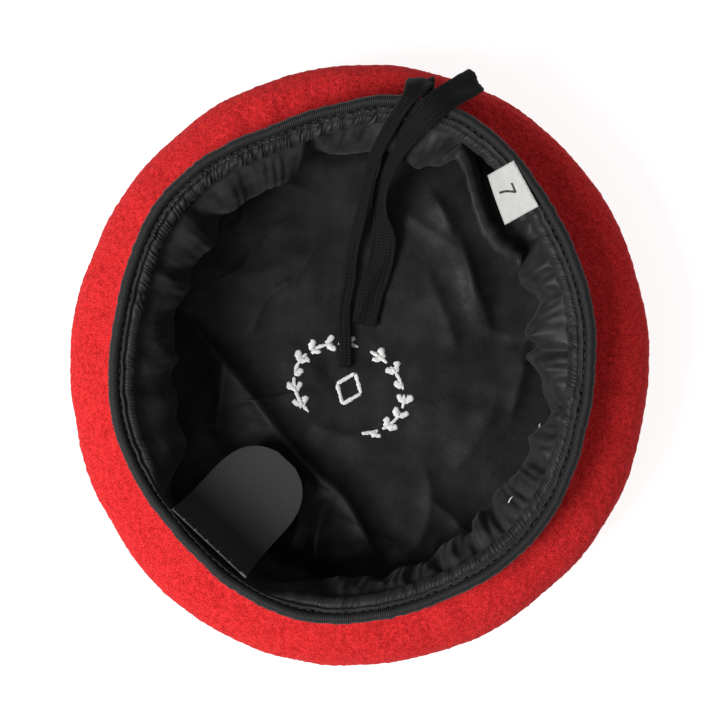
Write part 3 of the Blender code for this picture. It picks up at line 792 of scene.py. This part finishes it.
def binding(material):
    """Ribbed ribbon folded over the edge: each rib is modelled."""
    angle = open_angles(4 * RIBS + 1)
    middle, _ = evenly(spline(RIBBON_SECTION, 3), 1.15)
    du, dv = np.gradient(middle, axis=0).T
    size = np.hypot(du, dv)
    nu, nv = (-dv / size)[:, None], (du / size)[:, None]
    if nv[len(nv) // 2] < 0:
        nu, nv = -nu, -nv
    rib = 0.13 * np.array([1.0, 0.5, -1.0, 0.5])[np.arange(len(angle)) % 4][None]
    puck = 0.10 * ring_ripple(angle, 21, 20, 30, 160)[None]
    sway = 0.18 * ring_ripple(angle, 22, 10, 8, 40)[None]
    top = smooth_step(middle[:, 1:2], -9.0, -1.0)
    mu = middle[:, 0:1] + (sway * 0.6 + puck * 0.5) * top
    mv = middle[:, 1:2] + sway * 0.5 * top
    skin = 0.5 * RIBBON + rib + puck * 0.4
    pick = np.linspace(0, len(middle) - 1, 8).round().astype(int)[::-1]
    outside = rim_point(angle[None], mu + nu * skin, mv + nv * skin)
    inside = rim_point(angle[None], (mu - nu * 0.5 * RIBBON)[pick], (mv - nv * 0.5 * RIBBON)[pick])
    grid = np.concatenate([outside, inside])
    rows, columns = grid.shape[:2]
    c = np.arange(columns - 1)
    last = (rows - 1) * columns
    faces = grid_faces(rows, columns, False).tolist()
    faces += np.stack([last + c, last + c + 1, c + 1, c], -1).tolist()
    cut = [r * columns for r in range(rows)]
    faces += [cut, [k + columns - 1 for k in cut][::-1]]
    obj = add_mesh("ribbon_binding", grid, faces, material)
    # The UV map's first number counts ribs, which places the painted shade in their grooves.
    unwrap(obj, np.arange(columns)[None] / 4.0, np.arange(rows)[:, None])
    tidy_normals(obj)
    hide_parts("rim_binding")


# ---- Side lining
def heading_u(angle, du):
    return -4.8 + du * (0.1 + 0.9 * pressed(angle))


def facing(angle, towards, low, high):
    """1 on the side of the rim that faces this way, fading to 0 between two cosines."""
    return smooth_step(np.cos(np.radians(angle - towards)), low, high)


def heading_strip(material):
    """A rolled edge and below it a strip of tight puckers, each a rounded bead across the strip."""
    angle = np.arange(6 * HEADING_BEADS) * 360.0 / (6 * HEADING_BEADS)
    section, _ = evenly(spline(HEADING_SECTION, 4), 0.52)
    t = np.linspace(0.0, 1.0, len(section))[:, None]
    free = pressed(angle)[None]
    uneven = ring_ripple(angle, 31, 16, 3, 30) * 0.8 + ring_ripple(angle, 35, 24, 40, 150) * 0.15
    waver = ring_ripple(angle, 36, 24, 20, 110)[None] * np.sin(math.pi * t) * 0.22
    slant = (2.9 + 0.9 * ring_ripple(angle, 37, 8, 2, 9))[None]
    phase = HEADING_BEADS * angle[None] / 360.0 + uneven[None] + waver - slant * t
    bead = 1.0 - np.abs(2.0 * (phase % 1.0) - 1.0) ** 2.0
    first = 1.3 * (1.0 - facing(angle, 130.0, 0.62, 0.86)[None])
    band = smooth_step(-section[:, 0:1], first, first + 0.6)
    band = band * (1.0 - smooth_step(-section[:, 1:2], 6.0, 8.4))
    strong = 0.45 + 0.55 * facing(angle, 128.0, 0.3, 0.8)
    strong = np.maximum(strong, 0.62 * facing(angle, 5.0, 0.1, 0.6))
    varied = np.clip(1.0 + 0.42 * ring_ripple(angle, 32, 30, 30, 150), 0.15, 1.8)
    swell = (HEADING_BEAD * strong * varied)[None] * bead * band * free
    sway = 0.12 * ring_ripple(angle, 33, 16, 20, 90)[None] * free
    sag = 0.5 * ring_ripple(angle, 34, 12, 8, 40)[None] * free
    u = heading_u(angle[None], section[:, 0:1]) - swell * 0.45 - sway
    v = section[:, 1:2] + swell * 0.75 + 0.15 * sag * (1.0 - t) + sag * t * 0.5
    faces = grid_faces(len(section), len(angle), True)
    obj = add_mesh("lining_heading", rim_point(angle[None], u, v), faces, material)
    thicken(obj, SATIN)
    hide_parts("side_lining")
    return obj


def lively(angle):
    """1 where the lining is strongly gathered, on the wearer's right, and less on the left."""
    return 0.25 + 0.75 * smooth_step(np.cos(np.radians(angle + 8.0)), 0.1, 0.55)


def lining_base(angle, t):
    """The side lining from the foot of its heading (t = 0) to its hem (t = 1), with no folds."""
    reach = ring_table(angle, REACH)
    swell = (RIM_RADIUS + waves(RIM_WAVES, angle) - 5.8 - reach) / 1.16 * pressed(angle)
    foot = rim_point(angle, heading_u(angle, -4.5), -7.8)
    upper = rim_point(angle, -5.5 - 1.7 * swell, -14.0)
    lower = rim_point(angle, -5.0 - 1.4 * swell, -50.0)
    hem = body_point(angle, 0.79, 5.2)
    return bezier(foot, upper, lower, hem, t[..., None])


def lining_places(angle, t):
    """The side lining with its tucks, ridges and the beginnings of its gathers."""
    angle, t = np.broadcast_arrays(angle, t)
    place = lining_base(angle, t)
    lean = angle + 5.0 * t * np.sin(np.radians(3.0 * angle + 40.0))
    gather = ring_ripple(lean, 41, 30, 50, 120)
    depth = 0.60 * np.exp(-t / 0.13) + 0.22 * lively(angle) * np.exp(-(((t - 0.22) / 0.16) ** 2))
    move = gather * depth * (0.3 + 0.7 * lively(angle)) * smooth_step(t, 0.0, 0.035)
    broad = ring_ripple(angle + 14.0 * t, 42, 14, 9, 24)
    move = move + broad * (0.8 + 0.5 * lively(angle)) * smooth_step(t, 0.05, 0.35)
    for at, deep, half, slant, end in TUCKS:
        off = turned(angle - at - slant * t)
        valley = np.exp(-np.abs(off / half) ** 1.4)
        lip = np.exp(-(((off - 2.4 * half) / (1.3 * half)) ** 2))
        run = between(t, 0.0, 0.07, 0.6 * end, 1.25 * end)
        move = move - deep * (valley - 0.35 * lip) * run
    for at, slant, height, half, begin, end in RIDGES:
        off = turned(angle - at - slant * t)
        run = between(t, begin - 0.08, begin + 0.05, end - 0.05, end + 0.10)
        move = move + height * np.exp(-np.abs(off / half) ** 1.6) * run
    move = move * pressed(angle) * (1.0 - smooth_step(t, 0.80, 1.0))
    place = place - out(angle) * move[..., None]
    place[..., 2] += 0.25 * move * smooth_step(t, 0.05, 0.3)
    hung, there = crescent(angle, t)
    return place + (hung - place) * there[..., None]


def crescent(angle, t):
    """Beside the label the lining drops into a deep pocket and hangs from there in a narrow roll."""
    first, last = CRESCENT
    there = between(angle, last - 6.0, last + 4.0, first - 1.0, first + 4.0)
    roll = np.clip((first - angle) / (first - last), 0.0, 1.0)
    near = roll + np.linspace(-0.09, 0.09, 7).reshape((-1,) + (1,) * roll.ndim)
    reach = np.interp(near, *CRESCENT_REACH).mean(0)
    level = np.interp(near, *CRESCENT_LEVEL).mean(0)
    radius = RIM_RADIUS + waves(RIM_WAVES, angle)
    deep = np.minimum(level - 8.0, 29.0 + 14.0 * smooth_step(1.0 - roll, 0.75, 1.0))
    # How far down the lining, from the middle of the rim, and how high each line of it is.
    knots = (
        (0.00, radius, 0.0), (0.10, radius - 9.0, 45.0),
        (0.24, np.maximum(radius - 7.0, reach + 8.5), deep), (0.33, reach + 8.0, deep - 2.0),
        (0.39, reach + 6.6, level - 4.4), (0.44, reach + 4.4, level - 0.7),
        (0.49, reach + 1.4, level), (0.53, reach, level - 2.8), (0.60, reach + 2.0, 17.0),
        (0.80, reach + 8.0, 7.0), (1.00, radius, 0.0),
    )
    when = [knot[0] for knot in knots]
    places = []
    for _, away, z in knots:
        place = out(angle) * away[..., None] + np.array([*RIM_CENTRE, 0.0])
        place[..., 2] = z
        places.append(place)
    places[0], places[-1] = (lining_base(angle, np.full_like(angle, end)) for end in (0.0, 1.0))
    hung = places[0].copy()
    for k in range(len(knots) - 1):
        a, b, c, d = (places[min(max(j, 0), len(knots) - 1)] for j in range(k - 1, k + 3))
        share = np.clip((t - when[k]) / (when[k + 1] - when[k]), 0.0, 1.0)[..., None]
        inside = (t >= when[k]) & (t <= when[k + 1])
        hung = np.where(inside[..., None], catmull_rom(a, b, c, d, share), hung)
    crinkle = 0.5 * ring_ripple(angle + 8.0 * t, 45, 20, 40, 110) * smooth_step(t, 0.02, 0.1)
    crinkle = crinkle * (1.0 - 0.85 * np.exp(-(((t - 0.47) / 0.09) ** 2)))
    return hung - out(angle) * crinkle[..., None], there


def settle(points, rest, faces, hold, wall):
    """Cloth with more stuff in it than its place allows buckles into folds. All in mm; hold is 0 to 1."""
    scene = bpy.context.scene
    obj = mesh_object("settling", points, faces)
    obj.shape_key_add(name="as_is")
    key = obj.shape_key_add(name="cut")
    key.data.foreach_set("co", (rest * MM).astype(np.float32).ravel())
    group = obj.vertex_groups.new(name="hold")
    for value in np.unique(hold):
        group.add(np.flatnonzero(hold == value).tolist(), float(value), "REPLACE")
    cloth = obj.modifiers.new("cloth", "CLOTH")
    s = cloth.settings
    s.quality = 5
    s.mass = 0.12
    s.tension_stiffness = s.compression_stiffness = 12.0
    s.shear_stiffness = 4.0
    s.bending_stiffness = 0.04
    s.tension_damping = s.compression_damping = 8.0
    s.shear_damping = 6.0
    s.air_damping = 3.0
    s.vertex_group_mass = "hold"
    s.pin_stiffness = 1.0
    s.effector_weights.gravity = 0.1
    s.rest_shape_key = key
    cloth.collision_settings.use_collision = True
    cloth.collision_settings.distance_min = WALL_GAP
    cloth.collision_settings.use_self_collision = False
    cloth.point_cache.frame_start = 1
    cloth.point_cache.frame_end = SETTLE_FRAMES
    wall.modifiers.new("wall", "COLLISION")
    wall.collision.thickness_outer = WALL_GAP
    wall.collision.damping = 0.6
    for moment in range(1, SETTLE_FRAMES + 1):
        scene.frame_set(moment)
    shaped = obj.evaluated_get(bpy.context.evaluated_depsgraph_get())
    found = np.empty(points.size, dtype=np.float32)
    shaped.data.vertices.foreach_get("co", found)
    scene.frame_set(1)
    for spare in (obj, wall):
        bpy.data.objects.remove(spare)
    return found.reshape(points.shape).astype(float) / MM


def felt_wall():
    """The inside face of the felt, as a stop for the cloth."""
    angle = np.arange(WALL_COLUMNS) * 360.0 / WALL_COLUMNS
    ends = (
        body_point(angle, 0.975, WIDEST_Z + 1.0), body_point(angle, 0.975, WIDEST_Z + UNDERSIDE_RISE - 2.0),
        rim_point(angle, 0.0, -18.5), rim_point(angle, -4.4, -12.0),
    )
    grid = np.array(felt_rows(angle, np.linspace(0.15, 0.5 * math.pi, 12), 0.026, 1.8, ends, 12))
    return mesh_object("wall", grid, grid_faces(*grid.shape[:2], True))


def settled(angle, t, points, faces):
    """The side lining let go, so that its spare cloth folds, then smoothed and creased on finer columns."""
    rows = len(t)
    upper = 1.0 - 0.75 * smooth_step(t, 0.12, 0.45)
    spare = 1.0 + (0.07 + 0.20 * lively(angle)) * pressed(angle) * upper
    every = np.broadcast_arrays(angle[None], t)
    rest = lining_base(*every)
    rest[..., :2] *= spare[..., None]
    rest[..., 2] *= 1.06
    hung = crescent(*every)[1]
    hold = np.where(hung > 0.5, 1.0, np.where(hung > 0.02, 0.75, 0.4))
    hold[0] = hold[-1] = 1.0
    hold[:, pressed(angle) < 0.02] = 1.0
    points = settle(points, rest, faces, hold.ravel(), felt_wall())
    soft = (between(t, 0.10, 0.24, 0.94, 1.0) * (1.0 - hung))[..., None]
    for _ in range(SMOOTHINGS):
        even = 0.25 * np.roll(points, 1, 1) + 0.5 * points + 0.25 * np.roll(points, -1, 1)
        even[1:-1] = 0.25 * even[:-2] + 0.5 * even[1:-1] + 0.25 * even[2:]
        points = points + (even - points) * soft
    fine = np.arange(FINE_COLUMNS) * 360.0 / FINE_COLUMNS
    points = [[np.interp(fine, angle, row[:, k], period=360.0) for k in range(3)] for row in points]
    lean = fine[None] + 9.0 * t * np.sin(np.radians(2.0 * fine[None] + 20.0))
    crease = ring_ripple(lean, 46, 30, 60, 170) * np.exp(-t / 0.30) * (0.35 + 0.65 * lively(fine)[None])
    crease = crease * smooth_step(t, 0.03, 0.09) * pressed(fine)[None]
    crease = crease * (1.0 - np.interp(fine, angle, hung.max(0)))
    points = np.array(points).transpose(0, 2, 1) - out(fine[None]) * (0.55 * crease)[..., None]
    return points, grid_faces(rows, FINE_COLUMNS, True)


def side_cloth(material):
    angle = np.arange(SIDE_COLUMNS) * 360.0 / SIDE_COLUMNS
    t = np.linspace(0.0, 1.0, SIDE_ROWS)[:, None]
    points = lining_places(angle[None], t)
    faces = grid_faces(SIDE_ROWS, SIDE_COLUMNS, True)
    points, faces = settled(angle, t, points, faces)
    obj = add_mesh("lining_side", points, faces, material)
    thicken(obj, SATIN)
    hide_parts("side_lining")
    return obj, points


# ---- Crown lining
def near_line(x, y, line):
    """The signed distance of each place from a line of points, and how far along it is, from 0 to 1."""
    best = np.full(x.shape, 1e9)
    side, along = np.zeros(x.shape), np.zeros(x.shape)
    gaps = np.linalg.norm(np.diff(line, axis=0), axis=1)
    total = gaps.sum()
    run = 0.0
    for (ax, ay), (bx, by), gap in zip(line[:-1], line[1:], gaps):
        t = np.clip(((x - ax) * (bx - ax) + (y - ay) * (by - ay)) / gap**2, 0.0, 1.0)
        dx, dy = x - ax - t * (bx - ax), y - ay - t * (by - ay)
        d = np.hypot(dx, dy)
        closer = d < best
        best = np.where(closer, d, best)
        side = np.where(closer, np.sign((bx - ax) * dy - (by - ay) * dx), side)
        along = np.where(closer, (run + t * gap) / total, along)
        run += gap
    return best * side, along


def crown_height(x, y):
    """The crown lining's height over the felt, with its folds, flat under the cord's tails."""
    radius = np.hypot(x, y)
    places = np.stack([x, y, np.zeros_like(x)], -1)
    folds = 0.35 * ripple(places, 51, 20, 30.0, 70.0) + 0.10 * ripple(places, 52, 30, 9.0, 22.0)
    for points, height, left, right in CROWN_FOLDS:
        off, along = near_line(x, y, spline(points, 6))
        ends = between(along, -0.02, 0.38, 0.62, 1.02)
        half = np.where(off > 0.0, left, right) * (0.25 + 0.75 * ends)
        crease = np.sqrt(off**2 + 0.36) - 0.6
        folds = folds + 0.75 * height * ends * np.exp(-crease / (0.9 * half))
    for seed, creases, areas, edge, height, sharp in CROWN_CREASES:
        field = ripple(places, seed, 12, *creases)
        where = smooth_step(ripple(places, seed + 1, 10, *areas), *edge)
        folds = folds + height * where * np.exp(-np.sqrt(field**2 + 0.002) * sharp)
    near = np.full(x.shape, 1e9)
    for route in (SHORT_TAIL, LONG_TAIL):
        off, _ = near_line(x, y, np.array([p[:2] for p in route if p[2] < TAIL_LIES_BELOW]))
        near = np.minimum(near, np.abs(off))
    calm = CALM_FOLDS + (folds - CALM_FOLDS) * smooth_step(near, 5.5, 13.0)
    folds = np.where(folds > CALM_FOLDS, calm, folds)
    return 3.0 + smooth_step(radius, 62.0, 86.0) + folds * (1.0 - smooth_step(radius, 74.0, 84.0))


def crown_cloth(material):
    angle = np.arange(CROWN_COLUMNS) * 360.0 / CROWN_COLUMNS
    grid = body_point(angle[None], np.linspace(0.012, 0.80, CROWN_RINGS)[:, None], 0.0)
    points = np.concatenate([grid.reshape(-1, 3), np.zeros((1, 3))])
    points[:, 2] = crown_height(points[:, 0], points[:, 1])
    middle = len(points) - 1
    faces = grid_faces(CROWN_RINGS, CROWN_COLUMNS, True).tolist()
    faces += [[middle, (c + 1) % CROWN_COLUMNS, c] for c in range(CROWN_COLUMNS)]
    obj = add_mesh("lining_crown", points, faces, material)
    thicken(obj, SATIN)
    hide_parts("crown_lining")
    return obj


def strip(points, steps, step, width):
    """A flat line's two edges and middle, and the width may differ along it."""
    line, _ = evenly(spline(points, steps), step)
    way = unit(np.gradient(line, axis=0))
    side = np.stack([-way[:, 1], way[:, 0]], 1) * (0.5 * width(len(line)))
    return np.stack([line + side, line, line - side], 1)


def print_strip(points, width, ragged, seed):
    """A printed line with ragged edges and tapering ends."""
    def widths(count):
        rough = width * (1.0 + ragged * (np.random.default_rng(seed).random(count) - 0.5))
        taper = np.sqrt(np.clip(np.sin(np.linspace(0.12, math.pi - 0.12, count)) * 2.2, 0.0, 1.0))
        return (rough * taper)[:, None]

    return strip(points, 10, 0.7, widths)


def crown_print(material):
    """A worn white ornament of this part's own design: an open wreath of leaves round a lozenge."""
    c, s = math.cos(PRINT_TURN), math.sin(PRINT_TURN)
    right = VIEW_RIGHT[:2] * c + VIEW_UP[:2] * s
    up = VIEW_UP[:2] * c - VIEW_RIGHT[:2] * s
    strips = []
    seed = 70

    def place(x, y):
        return np.array(PRINT_MIDDLE) + right * x + up * y

    def ring(degrees):
        a = math.radians(degrees)
        return WREATH[0] * math.cos(a), WREATH[1] * math.sin(a)

    for start, end in WREATH_ARCS:
        arc = [place(*ring(k)) for k in np.linspace(start, end, 9)]
        strips.append(print_strip(arc, 1.3, 0.6, seed))
        seed += 1
    for turn in (*range(-50, 90, 20), *range(110, 231, 20)):
        a = math.radians(turn)
        for way, long in ((1.0, 3.4), (-1.0, 2.8)):
            base = np.array(ring(turn))
            flow = np.array([-math.sin(a), math.cos(a)]) * (1.0 if turn < 90 else -1.0)
            away = np.array([math.cos(a), math.sin(a)]) * way
            tip = base + flow * long + away * 2.5
            mid = 0.5 * (base + tip) + away * 0.5
            if seed % 7 != 3:
                strips.append(print_strip([place(*base), place(*mid), place(*tip)], 2.3, 0.8, seed))
            seed += 1
    lozenge = np.array([(0.0, 6.5), (5.0, 0.0), (0.0, -6.5), (-5.0, 0.0)])
    for a, b in zip(lozenge, np.roll(lozenge, -1, axis=0)):
        strips.append(print_strip([place(*a), place(*(0.5 * (a + b))), place(*b)], 1.5, 0.5, seed))
        seed += 1
    lifted = [np.dstack([flat, crown_height(flat[..., 0], flat[..., 1]) + 0.24]) for flat in strips]
    obj = add_mesh("lining_print", *joined(lifted, False), material)
    thicken(obj, 0.08)


# ---- Badge stiffener
def flap_face():
    """The stiffener's middle surface and its normals, and how far down and across it each point is."""
    rows, columns = FLAP_GRID
    steps = 8
    step = FLAP_LENGTH / ((rows - 1) * steps)
    inwards = down = 0.0
    line = [(0.0, 0.0)]
    for i in range((rows - 1) * steps):
        bent = smooth_step((i + 0.5) * step, *FLAP_BEND)
        slope = math.radians(FLAP_STEEP + (FLAP_SHALLOW - FLAP_STEEP) * bent)
        inwards += step * math.cos(slope)
        down += step * math.sin(slope)
        if (i + 1) % steps == 0:
            line.append((inwards, down))
    line = np.array(line)
    along = np.linspace(0.0, FLAP_LENGTH, rows)
    half = FLAP_HALF_TOP + (FLAP_HALF - FLAP_HALF_TOP) * np.minimum(1.0, along / FLAP_BEND[0])
    over = np.clip((along - FLAP_ROUND_FROM) / (FLAP_LENGTH - FLAP_ROUND_FROM), 0.0, 0.985)
    across = (half * (1.0 - over**2.4) ** (1.0 / 2.4))[:, None] * np.linspace(-1.0, 1.0, columns)[None]
    side, into = out(np.array(FLAP_TURN)), out(np.array(FLAP_TURN + 90.0))
    hinge = rim_point(np.array(FLAP_AT), *FLAP_INSET)
    points = hinge + side * across[..., None] + into * line[:, 0, None, None]
    points[..., 2] -= line[:, 1][:, None]
    n = normals_of(points, False)
    return points, n if n[10, 10, 2] > 0 else -n, along, across


def stiffener(material):
    points, n, along, across = flap_face()
    bow = 0.35 * np.cos(across / 18.0 * 1.4) * smooth_step(along, 4.0, 30.0)[:, None]
    faces = grid_faces(*FLAP_GRID, False)
    obj = add_mesh("stiffener_flap_board", points + n * bow[..., None], faces, material, "stiffener_flap")
    # The UV map's second number runs down the board from its sewn top, and places its painted shade there.
    unwrap(obj, across / FLAP_HALF, (along / FLAP_LENGTH)[:, None])
    thicken(obj, FLAP)
    edge = obj.modifiers.new("edge", "BEVEL")
    edge.width = 0.22 * MM
    edge.segments = 2
    edge.limit_method = "ANGLE"
    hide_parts("badge_stiffener")


def stiffener_stitches(material):
    points, n, _, _ = flap_face()
    lines = stitches(points[2, 2:-2] + n[2, 2:-2] * (0.5 * FLAP), n[2, 2:-2], 2.4, 0.7, 0.22)
    top = points[0] + n[0] * 0.1
    top[:, 2] += 0.15
    lines += stitches(top, np.tile([[0.0, 0.0, 1.0]], (len(top), 1)), 5.5, 0.25, 0.35)
    obj = tubes("stiffener_stitches", lines, 0.36, 6, material, "stiffener_flap")
    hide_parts("stiffener_thread")


# ---- Size label
def label_place(along, depth, proud):
    """A point on the label: along its edge, down it, and proud of its face, bulged a little."""
    along, depth, proud = np.broadcast_arrays(np.asarray(along, float), depth, proud)
    side, into = out(np.array(LABEL_TURN)), out(np.array(LABEL_TURN - 90.0))
    drop = math.radians(LABEL_DROP)
    normal = into * math.sin(drop) + np.array([0.0, 0.0, math.cos(drop)])
    down = into * math.cos(drop) - np.array([0.0, 0.0, math.sin(drop)])
    hinge = rim_point(np.array(LABEL_AT), *LABEL_INSET)
    share = depth / LABEL_DEPTH
    aside = along / (0.5 * LABEL_LENGTH)
    depth = depth * (1.0 + 0.12 * aside)
    bulge = 0.9 * np.sin(math.pi * share) * (0.6 - 0.4 * aside) - 0.4 * share**2 - 0.5 * share * aside**2
    return hinge + side * along[..., None] + down * depth[..., None] + normal * (proud + bulge)[..., None]


def sewn_edge(obj):
    """Bakes the piece's placement into its mesh. The ends of the label's sewn edge are worked out here but
    not used.
    """
    start, end = (tuple(label_place(0.0, depth, 0.0) * MM) for depth in LABEL_FOLD)
    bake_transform(obj)


def size_label(material):
    rows, columns = LABEL_GRID
    along = np.linspace(-0.5, 0.5, columns)[None] * LABEL_LENGTH
    depth = np.linspace(0.0, 1.0, rows)[:, None] * LABEL_DEPTH
    wave = 0.12 * np.sin(along * 2.1) * np.exp(-depth / 2.0)
    points = label_place(along, depth, wave)
    obj = add_mesh("label_face", points, grid_faces(*LABEL_GRID, False), material, None)
    thicken(obj, LABEL)
    sewn_edge(obj)
    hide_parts("size_label")
    return obj


def label_digit(material):
    """The number 7, with its head towards the label's sewn edge."""
    flat = [strip(line, 8, 0.3, lambda _: DIGIT_WIDTH)[:, ::2] for line in DIGIT]
    grids = [label_place(edges[..., 0], edges[..., 1], 0.205) for edges in flat]
    obj = add_mesh("label_digit", *joined(grids, False), material, "label_flap")
    thicken(obj, 0.05)


def label_stitches(material):
    along = np.linspace(-0.46, 0.46, 60) * LABEL_LENGTH
    path = label_place(along, 0.9, 0.18)
    lift = label_place(along, 0.9, 1.18) - path
    obj = tubes("label_stitches", stitches(path, lift, 2.0, 0.6, 0.16), 0.15, 6, material, None)
    sewn_edge(obj)
    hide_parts("label_thread")


# ---- Sewing
def rim_stitches(black):
    angle = open_angles(1600)
    inner = (rim_point(angle, -4.45, -1.7), 0.8 * -out(angle) + np.array([0.0, 0.0, 0.6]))
    outer = (rim_point(angle, -0.05, -9.3), out(angle))
    lines = stitches(*inner, 2.3, 0.8, 0.16) + stitches(*outer, 2.3, 0.8, 0.14)
    obj = tubes("binding_stitches", lines, 0.17, 6, black)
    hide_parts("binding_thread")


def heading_stitches(black):
    angle = np.linspace(FLAP_AT + BESIDE_FLAP, FLAP_AT - BESIDE_FLAP + 360.0, 1600)
    path = rim_point(angle, heading_u(angle, -1.3), -2.9)
    lift = 0.5 * -out(angle) + np.array([0.0, 0.0, 0.85])
    obj = tubes("heading_stitches", stitches(path, lift, 1.5, 0.5, 0.14), 0.14, 6, black)
    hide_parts("heading_thread")


def seam_stitches(black):
    angle = np.linspace(0.0, 360.0, 1400)
    path = body_point(angle, 0.777, 4.9)
    lift = np.tile([[0.0, 0.0, 1.0]], (len(angle), 1))
    obj = tubes("lining_seam_stitches", stitches(path, lift, 2.2, 0.7, 0.22), 0.2, 6, black)
    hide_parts("lining_seam_thread")


def tack_stitch(name, node, cloth, angle, radius, heading, white):
    """One white stitch on the face of the side lining, this far from the beret's axis."""
    rows, columns = cloth.shape[:2]
    near = cloth[: rows // 2, round(angle / 360.0 * columns) % columns]
    inward = -out(np.array(angle))
    row = np.argmin(np.abs(np.hypot(near[:, 0], near[:, 1]) - radius))
    centre = near[row] + inward * 0.3 + np.array([0.0, 0.0, 0.4])
    reach = np.linspace(-1.9, 1.9, 7)[:, None]
    bow = np.array([-0.25, 0.15, 0.25, 0.3, 0.25, 0.15, -0.25])[:, None]
    line = centre + out(np.array(heading)) * reach + (inward + np.array([0.0, 0.0, 0.6])) * bow
    obj = tubes(name, [line], 0.25, 8, white)
    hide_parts(node)


# ---- Build
def build():
    camera()
    floor()
    lights()
    felt = felt_finish()
    ribbon = ribbon_finish()
    braid = tape_finish("braid_black", True)
    channel = tape_finish("braid_channel", False)
    satin = satin_finish("satin_side", (0.017, 0.017, 0.018), (0.030, 0.030, 0.031), 0.45)
    crown_satin = satin_finish("satin_crown", (0.007, 0.007, 0.007), (0.012, 0.012, 0.012), 0.38)
    board = board_finish()
    black = thread_finish("thread_black", (0.008, 0.008, 0.009), (0.022, 0.022, 0.024))
    white = thread_finish("thread_white", (0.66, 0.66, 0.63), (0.84, 0.84, 0.82))
    tape("tail_short", "tie_tail_short", SHORT_TAIL, 0.9, 6, braid, 3)
    tape("tail_long", "tie_tail_long", LONG_TAIL, 1.8, 3, braid, 8)
    felt_body(felt)
    binding(ribbon)
    heading = heading_strip(satin)
    side, cloth = side_cloth(satin)
    crown = crown_cloth(crown_satin)
    crown_print(ink_finish("print_white", (0.62, 0.62, 0.61), (0.86, 0.86, 0.85)))
    stiffener(board)
    stiffener_stitches(black)
    label = size_label(label_finish())
    label_digit(ink_finish("ink_black", (0.02, 0.02, 0.02), (0.05, 0.05, 0.05)))
    label_stitches(white)
    rim_stitches(black)
    heading_stitches(black)
    seam_stitches(black)
    tack_stitch("tack_front", "tack_stitch_front", cloth, 339.9, 75.6, 81.0, white)
    tack_stitch("tack_right", "tack_stitch_right", cloth, 1.9, 72.4, 112.0, white)
    bpy.data.objects["channel_drawcord"].material_slots[0].material = channel


build()
